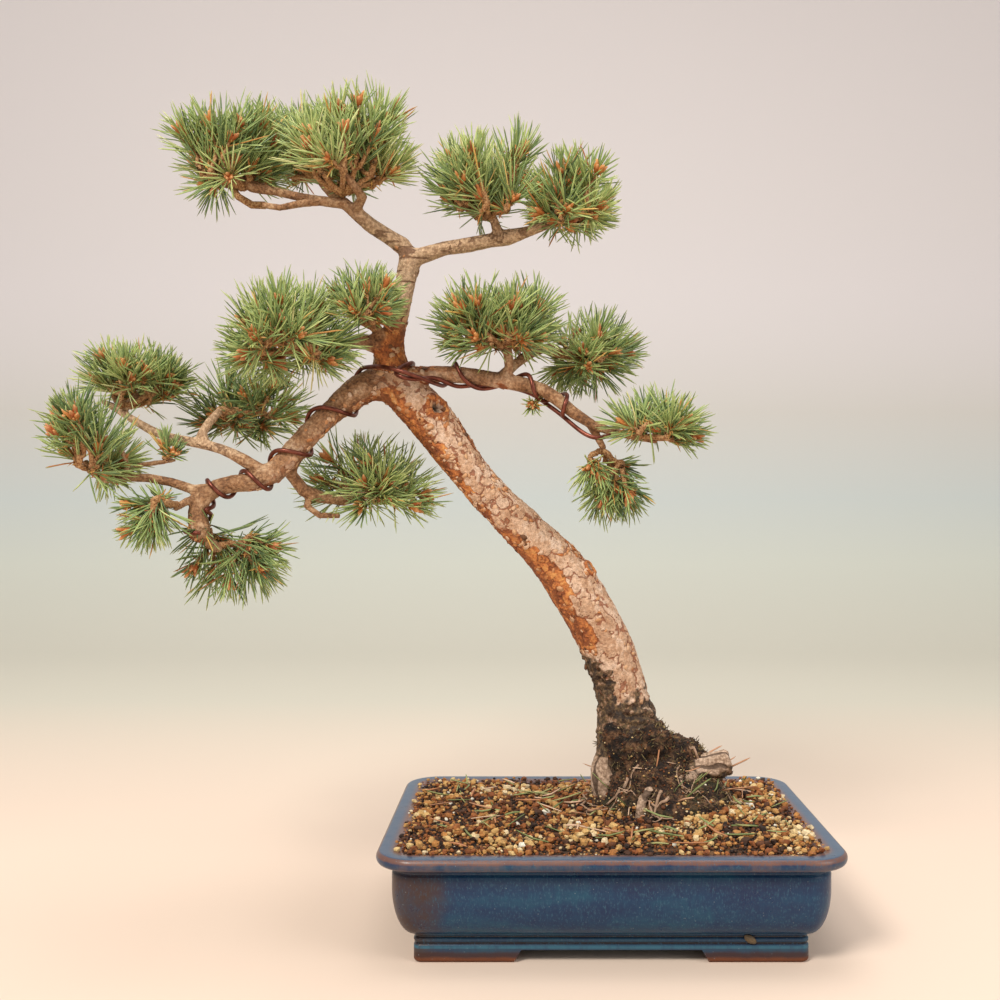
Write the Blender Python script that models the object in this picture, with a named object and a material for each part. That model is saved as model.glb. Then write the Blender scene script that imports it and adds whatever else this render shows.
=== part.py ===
"""A slanting pine bonsai wired in a glazed rectangular pot.

The pot stands on four corner feet. Plastic netting, held by wire clips, covers its two drain
holes, and the soil fills it to the rim. The pine's wood (surface roots, trunk and limbs) grew as
one piece. Its foot stands in a mound of dark, mossy muck, two training wires wind round its limbs,
and each pad of needles is a soft solid round the ends of the shoots that carry it.
Metres, +Z up. The front of the tree faces -Y.
"""

import math

import bmesh
import bpy
from mathutils import Vector
from mathutils.bvhtree import BVHTree

MM = 0.001
CLEARANCE = 0.3 * MM  # between neighbours that touch

# The pot
POT_LENGTH = 310 * MM
POT_DEPTH = 228 * MM
POT_HEIGHT = 74.7 * MM
CORNER_RADIUS = 27 * MM  # in plan, at the rim's outer edge
LEAST_CORNER = 3 * MM
RIM_WIDTH = 18 * MM
RIM_THICKNESS = 6 * MM
RIM_OVERHANG = 10.4 * MM  # how far the rim stands out over the body
FOOT_INSET = 24.5 * MM
FOOT_HEIGHT = 8.6 * MM
FOOT_LENGTH = 71 * MM  # along the pot, at the foot's top
FOOT_DEPTH = 48 * MM
FOOT_SLOPE = 5 * MM  # how much shorter a foot is at its sole
FOOT_ROUNDING = 2.5 * MM
FOOT_WALL = 15 * MM
FLOOR_THICKNESS = 8.4 * MM
GROOVE_DEPTH = 1.3 * MM
DRAIN_HOLE_RADIUS = 10 * MM
DRAIN_HOLE_SPACING = 150 * MM

# The netting over each drain hole and the clip that holds it
NETTING_SIDE = 42 * MM
NETTING_THICKNESS = 1.4 * MM
NETTING_OPENINGS = 4  # along each side
NETTING_BAR = 2.6 * MM
CLIP_WIRE_RADIUS = 0.75 * MM
CLIP_LEG = 19 * MM

# The soil
SOIL_DROP = 1.6 * MM  # below the rim's top, where it meets the pot
SOIL_CROWN = 3.6 * MM  # how much higher the soil is near the tree

# The pine. Its routes are in millimetres from its root collar, at TREE_SCALE 1.
TREE_SCALE = 1.0
TREE_X = 26 * MM
TREE_Y = 38 * MM
GIRTH = 1.0  # thickness of trunk and limbs, against the routes' radii
POINT_SPACING = 12 * MM

# The training wires
WIRE_RADIUS = 1.5 * MM
WIRE_STEPS_A_TURN = 12
WIRE_SPACING = 5 * MM  # between the points of a wire
WIRE_SEAT = 0.85 * MM  # from bark to wire

# Each point of a limb is x, y, z and the radius there.
TRUNK = (
    (4, 0, -22, 22), (2, 0, -7, 25.5), (0, 0, 24, 25.5), (-6, -1, 62, 23.5), (-9, -2, 79, 20),
    (-19, -4, 112, 20), (-34, -5, 143, 20), (-46, -6, 163, 20), (-59, -7, 182, 18.5),
    (-80, -10, 203, 16), (-113, -14, 236, 14.5), (-132, -16, 260, 15.5), (-149, -18, 284, 17),
    (-165, -21, 302, 17), (-183, -23, 318, 15),
)
LEADER = (
    (-175, -22, 309, 13), (-184, -23, 332, 14), (-183, -24, 350, 10), (-178, -26, 368, 8),
    (-174, -28, 385, 7.5), (-170, -30, 403, 8.5), (-168, -32, 415, 8),
)
LEFT_LIMB = (
    (-172, -23, 314, 14), (-198, -26, 316, 12.5), (-213, -32, 306, 11), (-227, -38, 294, 9),
    (-243, -46, 275, 8.5), (-253, -51, 263, 8.5), (-265, -55, 250, 8), (-278, -58, 243, 7),
    (-292, -59, 242, 6.5), (-304, -60, 239, 6.5), (-313, -61, 232, 6.5), (-317, -63, 222, 7),
    (-315, -65, 210, 8), (-315, -66, 201, 6.5),
)
RIGHT_BRANCH = (
    (-183, -22, 319, 11), (-167, -25, 323, 8), (-150, -28, 324, 6.5), (-133, -32, 323, 6.5),
    (-118, -36, 321, 6), (-103, -40, 318, 6), (-82, -44, 314, 5.5), (-70, -47, 310, 5),
    (-61, -49, 304, 5), (-48, -52, 293, 4.5), (-34, -55, 284, 3.5), (-15, -58, 278, 3),
    (3, -61, 274, 2.5), (11, -63, 272, 2),
)
SIDE_LIMBS = {
    "crown left branch": (
        (-167, -31, 409, 7), (-175, -32, 419, 7), (-185, -34, 425, 6), (-197, -38, 432, 6),
        (-207, -43, 440, 5.5), (-215, -46, 446, 4.5), (-229, -44, 448, 4), (-247, -40, 452, 3.5),
        (-268, -35, 458, 3.5), (-286, -30, 463, 5), (-298, -28, 469, 3.5),
    ),
    "crown left twig": (
        (-231, -44, 448, 3), (-246, -50, 445, 3), (-260, -54, 441, 2.5), (-273, -54, 443, 2.5),
    ),
    "crown back branch": (
        (-203, -40, 437, 4), (-218, -26, 452, 4), (-232, -8, 464, 3.5), (-246, 12, 482, 3),
    ),
    "crown front stub": (
        (-208, -44, 440, 4.5), (-201, -52, 449, 4), (-207, -60, 457, 3), (-215, -64, 466, 2.5),
    ),
    "crown right branch": (
        (-173, -30, 409, 6), (-160, -32, 411, 6.5), (-143, -34, 416, 5.5), (-126, -36, 418, 6),
        (-109, -38, 421, 5.5), (-96, -39, 423, 6.5), (-84, -41, 426, 4.5), (-70, -44, 430, 3.5),
        (-57, -46, 435, 3), (-49, -47, 437, 2.5),
    ),
    "crown right twig": (
        (-102, -38, 422, 4.5), (-106, -42, 434, 3.5), (-112, -46, 445, 3), (-116, -48, 453, 2.5),
    ),
    "bare branch": (
        (-258, -52, 255, 7), (-272, -57, 250, 6), (-286, -55, 259, 5), (-303, -51, 267, 4),
        (-323, -46, 272, 4), (-343, -40, 276, 3.5), (-360, -34, 282, 3.5), (-378, -29, 292, 3),
        (-391, -25, 300, 3), (-400, -22, 304, 2),
    ),
    "shoot on the bare branch": ((-384, -27, 296, 2.5), (-377, -27, 303, 3.5), (-371, -26, 309, 3)),
    "second left stem": (
        (-314, -48, 269, 3.5), (-319, -46, 278, 4), (-316, -38, 287, 3.5), (-311, -26, 297, 3),
    ),
    "outer left branch": (
        (-307, -60, 238, 5), (-321, -62, 238, 4), (-335, -65, 243, 3.5), (-351, -68, 246, 3.5),
        (-363, -71, 246, 3), (-371, -73, 244, 3), (-380, -75, 245, 3), (-388, -77, 251, 3),
        (-392, -77, 258, 2.5),
    ),
    "outer left twig": ((-365, -71, 246, 2.5), (-365, -70, 258, 2), (-369, -70, 266, 2)),
    "outer left side twig": (
        (-366, -71, 248, 2), (-358, -66, 255, 2), (-346, -61, 257, 2), (-334, -57, 259, 1.5),
    ),
    "lower left twig": ((-316, -61, 232, 4.5), (-323, -70, 229, 3), (-329, -78, 224, 2.5)),
    "drooping shoot": ((-315, -65, 207, 5.5), (-309, -60, 199, 4.5), (-303, -54, 195, 4)),
    "under branch": (
        (-247, -46, 267, 6.5), (-255, -44, 250, 5), (-246, -38, 237, 5), (-233, -30, 232, 4.5),
        (-219, -24, 230, 4.5), (-205, -19, 234, 4), (-190, -15, 241, 3.5),
    ),
    "under branch twig": (
        (-241, -35, 236, 3.5), (-244, -38, 226, 3), (-235, -36, 219, 2.5), (-220, -34, 219, 2.5),
    ),
    "middle left branch": (
        (-181, -25, 341, 9), (-200, -40, 346, 6), (-216, -54, 342, 4.5), (-232, -62, 337, 4),
    ),
    "small spur": ((-181, -26, 343, 6.5), (-190, -36, 352, 5), (-196, -44, 361, 3.5)),
    "right pad stem": (
        (-100, -40, 318, 5), (-95, -41, 327, 4), (-96, -42, 338, 4), (-103, -43, 346, 3.5),
    ),
    "right back stem": (
        (-103, -39, 318, 5), (-92, -31, 330, 4), (-78, -20, 341, 4), (-62, -10, 347, 3),
    ),
    "hanging shoot": ((-37, -54, 286, 3.5), (-31, -50, 276, 3), (-26, -48, 267, 2.5)),
}
ROOTS = {
    "left root": (
        (-8, -3, 47, 12), (-20, -11, 41, 10), (-23, -16, 29, 10), (-23, -19, 16, 9.5),
        (-22, -20, 3, 7.5), (-20, -18, -11, 6),
    ),
    "right root": (
        (8, -4, 43, 17), (28, -10, 33, 13), (46, -14, 28, 10.5), (60, -16, 30, 10.5),
        (71, -17, 33, 10),
    ),
    "right root spur": ((48, -18, 28, 6), (37, -30, 25, 5), (28, -36, 22, 3.5)),
    "front root": (
        (20, -10, 14, 6), (14, -32, 16, 4.5), (7, -46, 18, 4), (2, -52, 15, 3.5), (0, -55, 8, 3.5),
        (-1, -54, -4, 3.5),
    ),
}
# The muck: a sleeve round the foot of the trunk, as a route, and the middle and half sizes of the
# mound that it stands on.
MUCK_SLEEVE = ((8, -2, -6, 43), (7, -1, 12, 35), (2, -1, 36, 29.5), (-4, -1, 54, 27))
MOUND_CENTRE = (19, -10, -4)
MOUND_HALF = (57, 54, 35)

# The places where a wire crosses the front, back or top of its limb: the angle in degrees round
# the limb, 0 in front and 90 on top, and the place, counted in the limb route's points.
LEFT_WINDING = ((60, 0.9), (360, 2.85), (720, 4.95), (1080, 7.0), (1440, 9.0), (1800, 10.9), (2170, 12.5))
RIGHT_WINDING = (
    (-60, 2.15), (-360, 2.95), (-540, 4.9), (-630, 6.05), (-720, 6.45), (-990, 8.2), (-1080, 8.85),
    (-1190, 8.7),
)
SECOND_LEFT_WINDING = ((150, 0.45), (70, 0.55))
SECOND_RIGHT_WINDING = ((-60, 2.45), (-150, 3.3), (-180, 4.4), (-180, 7.4), (-120, 9.05))
WIRE_CROSSING = ((-152, -60, 315), (-166, -60, 321), (-182, -62, 326))
SECOND_WIRE_CROSSING = ((-180, -62, 321), (-164, -60, 316))
SECOND_WIRE_END = ((-44, -60, 279), (-38, -66, 271), (-31, -68, 268), (-24, -65, 272), (-22, -62, 277))

# Each pad of needles: its middle and its half sizes, in millimetres from the root collar.
PADS = {
    "crown_left_pad": ((-304, -30, 488), (46, 46, 42)),
    "crown_centre_pad": ((-212, -52, 487), (48, 52, 45)),
    "crown_back_pad": ((-258, 28, 512), (50, 36, 36)),
    "crown_right_pad": ((-111, -46, 464), (41, 48, 42)),
    "crown_right_outer_pad": ((-50, -50, 451), (32, 40, 32)),
    "leader_pad": ((-200, -64, 373), (29, 30, 28)),
    "middle_left_pad": ((-252, -74, 350), (51, 46, 40)),
    "upper_left_pad": ((-374, -24, 322), (43, 40, 29)),
    "second_left_pad": ((-302, 10, 305), (47, 38, 32)),
    "outer_left_pad": ((-386, -78, 274), (31, 42, 39)),
    "outer_left_tuft": ((-343, -58, 270), (17, 16, 14)),
    "lower_left_tuft": ((-338, -86, 218), (25, 28, 25)),
    "drooping_pad": ((-298, -50, 188), (40, 36, 36)),
    "under_pad": ((-200, -10, 247), (54, 40, 38)),
    "right_pad": ((-104, -48, 361), (48, 44, 33)),
    "right_back_pad": ((-38, 0, 346), (43, 40, 34)),
    "right_outer_pad": ((14, -64, 286), (42, 38, 30)),
    "hanging_pad": ((-24, -44, 241), (33, 34, 28)),
    "tiny_tuft": ((-76, -38, 297), (12, 13, 9)),
}
PAD_FLAT = 0.75  # height of a pad's lower half against its upper half


def clear_scene():
    for old in list(bpy.data.objects):
        bpy.data.objects.remove(old, do_unlink=True)


def collection(name):
    made = bpy.data.collections.new(name)
    bpy.context.scene.collection.children.link(made)
    return made


clear_scene()
PARTS = collection("bonsai_tree")
CUTTERS = collection("cutters")


def material(name, colour, roughness, metallic=0.0):
    made = bpy.data.materials.new(name)
    made.use_nodes = True
    shader = made.node_tree.nodes["Principled BSDF"]
    shader.inputs["Base Color"].default_value = (*colour, 1.0)
    shader.inputs["Roughness"].default_value = roughness
    shader.inputs["Metallic"].default_value = metallic
    made.diffuse_color = (*colour, 1.0)
    return made


def part_from(mesh, name, finish):
    """A node of the object, from a finished mesh."""
    made = bpy.data.objects.new(name, mesh)
    mesh.materials.clear()
    mesh.materials.append(finish)
    mesh.shade_smooth()
    mesh.set_sharp_from_angle(angle=math.radians(40))
    PARTS.objects.link(made)
    return made


def helper_from(mesh, name):
    """A cutter or a piece of one, which is no node."""
    made = bpy.data.objects.new(name, mesh)
    made.hide_render = True
    made.display_type = "WIRE"
    CUTTERS.objects.link(made)
    return made


def mesh_of(bm, name):
    bmesh.ops.recalc_face_normals(bm, faces=bm.faces)
    made = bpy.data.meshes.new(name)
    bm.to_mesh(made)
    bm.free()
    return made


def evaluated_mesh(obj):
    """The object's mesh in world space, with its modifiers applied and loose caps welded."""
    bpy.context.view_layer.update()
    graph = bpy.context.evaluated_depsgraph_get()
    made = bpy.data.meshes.new_from_object(obj.evaluated_get(graph))
    made.transform(obj.matrix_world)
    bm = bmesh.new()
    bm.from_mesh(made)
    bmesh.ops.remove_doubles(bm, verts=bm.verts, dist=0.005 * MM)
    bm.to_mesh(made)
    bm.free()
    return made


def boolean(target, other, operation):
    cut = target.modifiers.new(operation.lower(), "BOOLEAN")
    cut.operation = operation
    cut.solver = "EXACT"
    cut.use_self = operation == "UNION"
    cut.object = other


def combined(name, first, others, operation):
    """One mesh from a helper and the helpers that join it or are cut from it."""
    for other in others:
        boolean(first, other, operation)
    made = evaluated_mesh(first)
    made.name = name
    bpy.data.objects.remove(first, do_unlink=True)
    return made


def smooth_point(points, place):
    """The point at a place, counted in points, on the smooth curve through the points."""
    last = len(points) - 1
    index = min(max(int(place), 0), last - 1)
    t = place - index
    a, b, c, d = (
        Vector(points[min(max(index + step, 0), last)]) for step in (-1, 0, 1, 2)
    )
    return 0.5 * (
        2 * b + (c - a) * t + (2 * a - 5 * b + 4 * c - d) * t * t + (3 * b - a - 3 * c + d) * t**3
    )


def resampled(points, spacing):
    """Points about a spacing apart on the smooth curve through the points."""
    made = []
    for index in range(len(points) - 1):
        run = (Vector(points[index + 1][:3]) - Vector(points[index][:3])).length
        steps = max(1, round(run / spacing))
        made += [smooth_point(points, index + step / steps) for step in range(steps)]
    return made + [Vector(points[-1])]


def tube(name, points, radii, resolution):
    """A closed mesh tube along the points."""
    curve = bpy.data.curves.new(name, "CURVE")
    curve.dimensions = "3D"
    curve.bevel_depth = 1.0
    curve.bevel_resolution = resolution
    curve.use_fill_caps = True
    spline = curve.splines.new("POLY")
    spline.points.add(len(points) - 1)
    for point, place, radius in zip(spline.points, points, radii):
        point.co = (*place, 1.0)
        point.radius = radius
    drawn = bpy.data.objects.new(name, curve)
    CUTTERS.objects.link(drawn)
    made = evaluated_mesh(drawn)
    bpy.data.objects.remove(drawn, do_unlink=True)
    bpy.data.curves.remove(curve)
    return made


# The pot


def pot_ring(bm, inset, height):
    """The vertices of a rounded rectangle, this far in from the rim's outer edge."""
    half_x = POT_LENGTH / 2 - inset
    half_y = POT_DEPTH / 2 - inset
    radius = max(CORNER_RADIUS - inset, LEAST_CORNER)
    steps = 4
    verts = []
    for corner in range(4):
        centre_x = (half_x - radius) * (1, -1, -1, 1)[corner]
        centre_y = (half_y - radius) * (1, 1, -1, -1)[corner]
        for step in range(steps + 1):
            angle = math.pi / 2 * (corner + step / steps)
            x = centre_x + radius * math.cos(angle)
            y = centre_y + radius * math.sin(angle)
            verts.append(bm.verts.new((x, y, height)))
    return verts


def lofted(name, profile):
    """A closed mesh through rings of the pot's plan, from (inset, height) pairs, capped at both ends."""
    bm = bmesh.new()
    rings = [pot_ring(bm, inset, height) for inset, height in profile]
    for low, high in zip(rings, rings[1:]):
        for side in zip(low, low[1:] + low[:1], high[1:] + high[:1], high):
            bm.faces.new(side)
    bm.faces.new(rings[0])
    bm.faces.new(rings[-1])
    return mesh_of(bm, name)


def arc(centre, radii, start, end, steps):
    """Points of an ellipse's arc, as (inset, height), between two angles in degrees."""
    angles = [math.radians(start + (end - start) * n / steps) for n in range(steps + 1)]
    return [
        (centre[0] + radii[0] * math.cos(a), centre[1] + radii[1] * math.sin(a)) for a in angles
    ]


FLOOR_TOP = FOOT_HEIGHT + FLOOR_THICKNESS
BELLY_FOOT = FOOT_HEIGHT + 11 * MM
BELLY_SHOULDER = POT_HEIGHT - 25 * MM
RIM_UNDERSIDE = POT_HEIGHT - RIM_THICKNESS
BEAD = RIM_THICKNESS / 2


def outer_profile():
    plinth_grooves = []
    for height in (FOOT_HEIGHT + 4.2 * MM, FOOT_HEIGHT + 8.4 * MM):
        plinth_grooves += [
            (FOOT_INSET, height - GROOVE_DEPTH),
            (FOOT_INSET + GROOVE_DEPTH, height),
            (FOOT_INSET, height + GROOVE_DEPTH),
        ]
    belly = arc(
        (FOOT_INSET, BELLY_SHOULDER),
        (RIM_OVERHANG - FOOT_INSET, BELLY_FOOT - BELLY_SHOULDER),
        90,
        0,
        6,
    )
    return [
        *arc(
            (FOOT_INSET + FOOT_ROUNDING, FOOT_ROUNDING), (FOOT_ROUNDING, FOOT_ROUNDING), 270, 180, 3
        ),
        (FOOT_INSET, FOOT_HEIGHT),
        *plinth_grooves,
        *belly,
        (RIM_OVERHANG, RIM_UNDERSIDE - 8 * MM),
        (RIM_OVERHANG + 1.2 * MM, RIM_UNDERSIDE - 5.5 * MM),
        (RIM_OVERHANG - 0.6 * MM, RIM_UNDERSIDE - 2.5 * MM),
        (BEAD + 1 * MM, RIM_UNDERSIDE),
        *arc((BEAD, POT_HEIGHT - BEAD), (BEAD, BEAD), 250, 90, 6),
    ]


def inner_profile(gap):
    """The pot's inside from rim to floor, or the soil's outside, a gap further in."""
    return [
        (RIM_WIDTH + gap, POT_HEIGHT - 2 * MM),
        (RIM_WIDTH + 0.6 * MM + gap, BELLY_SHOULDER),
        (RIM_WIDTH + 5 * MM + gap, FLOOR_TOP + 14 * MM),
        (RIM_WIDTH + 11 * MM + gap, FLOOR_TOP + 4 * MM),
        (RIM_WIDTH + 20 * MM + gap, FLOOR_TOP + gap),
    ]


def box_cutter(name, low, high):
    bm = bmesh.new()
    bmesh.ops.create_cube(bm, size=1.0)
    size = Vector(high) - Vector(low)
    bmesh.ops.scale(bm, vec=size, verts=bm.verts)
    bmesh.ops.translate(bm, vec=(Vector(high) + Vector(low)) / 2, verts=bm.verts)
    return helper_from(mesh_of(bm, name), name)


def foot_gap_cutter(name, half_gap, reach, turned):
    """The gap between two feet: a bar right under the pot, wider towards the soles."""
    below = 2 * MM
    wide = half_gap + FOOT_SLOPE * (1 + below / FOOT_HEIGHT)
    outline = [(-wide, -below), (wide, -below), (half_gap, FOOT_HEIGHT), (-half_gap, FOOT_HEIGHT)]
    bm = bmesh.new()
    verts = [bm.verts.new((x, -reach, z)) for x, z in outline]
    face = bm.faces.new(verts)
    grown = bmesh.ops.extrude_face_region(bm, geom=[face])
    moved = [item for item in grown["geom"] if isinstance(item, bmesh.types.BMVert)]
    bmesh.ops.translate(bm, vec=(0, 2 * reach, 0), verts=moved)
    if turned:
        quarter = [Vector((v.co.y, -v.co.x, v.co.z)) for v in bm.verts]
        for vert, place in zip(bm.verts, quarter):
            vert.co = place
    return helper_from(mesh_of(bm, name), name)


def drain_places():
    return ((-DRAIN_HOLE_SPACING / 2, "left"), (DRAIN_HOLE_SPACING / 2, "right"))


def make_pot():
    rim_edge = [(RIM_WIDTH - 2 * MM, POT_HEIGHT)]
    walls = helper_from(lofted("pot_walls", outer_profile() + rim_edge + inner_profile(0)), "walls")
    foot_half_x = POT_LENGTH / 2 - FOOT_INSET
    foot_half_y = POT_DEPTH / 2 - FOOT_INSET
    cutters = [
        foot_gap_cutter("front gap", foot_half_x - FOOT_LENGTH, POT_DEPTH, False),
        foot_gap_cutter("side gap", foot_half_y - FOOT_DEPTH, POT_LENGTH, True),
        box_cutter(
            "under hollow",
            (FOOT_WALL - foot_half_x, FOOT_WALL - foot_half_y, -FOOT_WALL),
            (foot_half_x - FOOT_WALL, foot_half_y - FOOT_WALL, FOOT_HEIGHT),
        ),
    ]
    for x, side in drain_places():
        bm = bmesh.new()
        bmesh.ops.create_cone(
            bm,
            cap_ends=True,
            segments=24,
            radius1=DRAIN_HOLE_RADIUS,
            radius2=DRAIN_HOLE_RADIUS,
            depth=4 * FLOOR_THICKNESS,
        )
        bmesh.ops.translate(bm, vec=(x, 0, FLOOR_TOP), verts=bm.verts)
        cutters.append(helper_from(mesh_of(bm, "drain"), f"{side} drain hole"))
    glaze = material("blue_glaze", (0.035, 0.105, 0.215), 0.25)
    return part_from(combined("pot", walls, cutters, "DIFFERENCE"), "pot", glaze)


def make_drainage():
    """The netting over each hole, and the clip whose legs are bent flat under the floor."""
    plastic = material("netting_plastic", (0.02, 0.02, 0.02), 0.6)
    steel = material("clip_wire", (0.35, 0.33, 0.31), 0.4, 1.0)
    pitch = NETTING_SIDE / NETTING_OPENINGS
    underside = FLOOR_TOP + CLEARANCE
    top = underside + NETTING_THICKNESS
    for x, side in drain_places():
        bm = bmesh.new()
        bmesh.ops.create_grid(
            bm, x_segments=NETTING_OPENINGS, y_segments=NETTING_OPENINGS, size=NETTING_SIDE / 2
        )
        inset = bmesh.ops.inset_individual(
            bm, faces=bm.faces[:], thickness=NETTING_BAR / 2, use_even_offset=True
        )
        holes = [face for face in bm.faces if face not in set(inset["faces"])]
        bmesh.ops.delete(bm, geom=holes, context="FACES")
        grown = bmesh.ops.extrude_face_region(bm, geom=bm.faces[:] + bm.edges[:] + bm.verts[:])
        lifted = [item for item in grown["geom"] if isinstance(item, bmesh.types.BMVert)]
        bmesh.ops.translate(bm, vec=(0, 0, NETTING_THICKNESS), verts=lifted)
        bmesh.ops.translate(bm, vec=(x, 0, underside), verts=bm.verts)
        part_from(mesh_of(bm, "netting"), f"drainage_netting_{side}", plastic)
        leg = pitch / 2
        under = FOOT_HEIGHT - CLEARANCE - CLIP_WIRE_RADIUS
        over = top + CLEARANCE + CLIP_WIRE_RADIUS
        bend = 1.2 * MM
        half = [
            (CLIP_LEG, under),
            (leg + bend, under),
            (leg, under + bend),
            (leg, over - bend),
            (leg - bend, over),
        ]
        route = [Vector((x + a, leg, z)) for a, z in half]
        route += [Vector((x - a, leg, z)) for a, z in reversed(half)]
        mesh = tube("clip", route, [CLIP_WIRE_RADIUS] * len(route), 1)
        part_from(mesh, f"netting_clip_{side}", steel)


def soil_profile(gap):
    """The soil from its bottom up to its crowned top."""
    outside = [(inset, height) for inset, height in reversed(inner_profile(gap))]
    edge = POT_HEIGHT - SOIL_DROP
    return outside[:-1] + [
        (RIM_WIDTH + gap, edge - 1.5 * MM),
        (RIM_WIDTH + gap + 2 * MM, edge),
        (RIM_WIDTH + 14 * MM, edge + SOIL_CROWN / 2),
        (RIM_WIDTH + 40 * MM, edge + SOIL_CROWN),
    ]


def make_soil(cutters):
    block = helper_from(lofted("soil_block", soil_profile(CLEARANCE)), "soil block")
    pocket_top = FLOOR_TOP + NETTING_THICKNESS + 2 * CLEARANCE + 2 * CLIP_WIRE_RADIUS + CLEARANCE
    reach = NETTING_SIDE / 2 + CLEARANCE
    pockets = [
        box_cutter(f"{side} pocket", (x - reach, -reach, 0), (x + reach, reach, pocket_top))
        for x, side in drain_places()
    ]
    grit = material("soil_grit", (0.33, 0.2, 0.09), 0.9)
    return part_from(combined("soil", block, [*pockets, *cutters], "DIFFERENCE"), "soil", grit)


# The pine

SOIL_LEVEL = POT_HEIGHT - SOIL_DROP + SOIL_CROWN - 2.7 * MM


def in_place(point):
    """A point of the pine's own routes, in the object's frame."""
    x, y, z = (value * MM * TREE_SCALE for value in point[:3])
    return Vector((TREE_X + x, TREE_Y + y, SOIL_LEVEL + z))


def limb_route(route):
    """The route's points in the object's frame, each with its radius as the fourth number."""
    return [(*in_place(point), point[3] * MM * TREE_SCALE * GIRTH) for point in route]


def limb_tube(name, route, grow, resolution):
    points = resampled(limb_route(route), POINT_SPACING * TREE_SCALE)
    places = [point[:3] for point in map(tuple, points)]
    radii = [point[3] + grow for point in points]
    ends = (places[0], places[-1])
    stretch = [
        (Vector(ends[0]) - Vector(places[1])).normalized() * grow,
        (Vector(ends[1]) - Vector(places[-2])).normalized() * grow,
    ]
    places[0] = tuple(Vector(ends[0]) + stretch[0])
    places[-1] = tuple(Vector(ends[1]) + stretch[1])
    return helper_from(tube(name, places, radii, resolution), name)


def wood_mesh(name, grow):
    trunk = limb_tube("trunk", TRUNK, grow, 4)
    stout = [
        limb_tube(label, route, grow, 2)
        for label, route in (
            ("leader", LEADER),
            ("left limb", LEFT_LIMB),
            ("right branch", RIGHT_BRANCH),
        )
    ]
    stout += [limb_tube(label, route, grow, 2) for label, route in ROOTS.items()]
    thin = [limb_tube(label, route, grow, 1) for label, route in SIDE_LIMBS.items()]
    return combined(name, trunk, stout + thin, "UNION")


def muck_mesh(name, grow):
    sleeve = [(*in_place(point), point[3] * MM * TREE_SCALE * GIRTH) for point in MUCK_SLEEVE]
    points = resampled(sleeve, 2 * POINT_SPACING * TREE_SCALE)
    cone = tube("muck", [point[:3] for point in points], [p[3] + grow for p in points], 4)
    bm = bmesh.new()
    bmesh.ops.create_uvsphere(bm, u_segments=20, v_segments=10, radius=1.0)
    half = [value * MM * TREE_SCALE + grow for value in MOUND_HALF]
    bmesh.ops.scale(bm, vec=half, verts=bm.verts)
    centre = in_place(MOUND_CENTRE)
    bmesh.ops.translate(bm, vec=centre, verts=bm.verts)
    low = centre.z - 8 * MM - grow
    base = bmesh.ops.bisect_plane(
        bm,
        geom=bm.verts[:] + bm.edges[:] + bm.faces[:],
        plane_co=(0, 0, low),
        plane_no=(0, 0, 1),
        clear_inner=True,
    )
    rim = [item for item in base["geom_cut"] if isinstance(item, bmesh.types.BMEdge)]
    bmesh.ops.contextual_create(bm, geom=rim)
    dome = helper_from(mesh_of(bm, "mound"), "mound")
    return combined(name, dome, [helper_from(cone, "sleeve")], "UNION")


def pot_inside(gap):
    """The space over the soil that the pot's walls leave, as a cutter."""
    return helper_from(
        lofted("inside", [(RIM_WIDTH + gap, FLOOR_TOP), (RIM_WIDTH + gap, 3 * POT_HEIGHT)]),
        "pot inside",
    )


# The training wires


def limb_frame(route, place):
    """Centre, radius, front and up of a limb at a place along its route."""
    here = smooth_point(route, place)
    ahead = smooth_point(route, min(place + 0.05, len(route) - 1))
    behind = smooth_point(route, max(place - 0.05, 0))
    along = (ahead.to_3d() - behind.to_3d()).normalized()
    front = Vector((0, -1, 0))
    front = (front - along * front.dot(along)).normalized()
    up = along.cross(front)
    if up.z < 0:
        up = -up
    return here.to_3d(), here[3], front, up


def winding(route, marks):
    """Points of a wire wound round a limb, through the marks' angles and places."""
    route = limb_route(route)
    stand_off = WIRE_RADIUS + WIRE_SEAT
    made = []
    for (angle, place), (next_angle, next_place) in zip(marks, marks[1:]):
        steps = max(1, round(abs(next_angle - angle) / 360 * WIRE_STEPS_A_TURN))
        for step in range(steps):
            share = step / steps
            turn = math.radians(angle + (next_angle - angle) * share)
            centre, radius, front, up = limb_frame(route, place + (next_place - place) * share)
            made.append(centre + (front * math.cos(turn) + up * math.sin(turn)) * (radius + stand_off))
    return made


def settled(points, bark, neighbour):
    """The points eased into a smooth line that touches neither the bark nor the other wire."""
    stand_off = WIRE_RADIUS + WIRE_SEAT
    apart = 2 * WIRE_RADIUS + WIRE_SEAT
    points = [point.copy() for point in points]

    def push(place, moved):
        near, normal, _, _ = bark.find_nearest(place)
        away = place - near
        if away.dot(normal) < 0:
            shift = normal * (stand_off + away.length)
        else:
            shift = away.normalized() * max(stand_off - away.length, 0.0)
        for other in neighbour:
            gap = place + shift - other
            if gap.length < apart:
                shift += gap.normalized() * (apart - gap.length)
        for point in moved:
            point += shift

    for turn in range(60):
        if turn < 45:
            eased = [
                point.lerp((before + after) / 2, 0.25)
                for before, point, after in zip(points, points[1:], points[2:])
            ]
            points = [points[0], *eased, points[-1]]
        for point in points:
            push(point, [point])
        for point, after in zip(points, points[1:]):
            push((point + after) / 2, [point, after])
    return points


def finely(points):
    """The wire's points with more between them, for measuring how near another wire comes."""
    return [a.lerp(b, n / 3) for a, b in zip(points, points[1:]) for n in range(3)]


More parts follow.
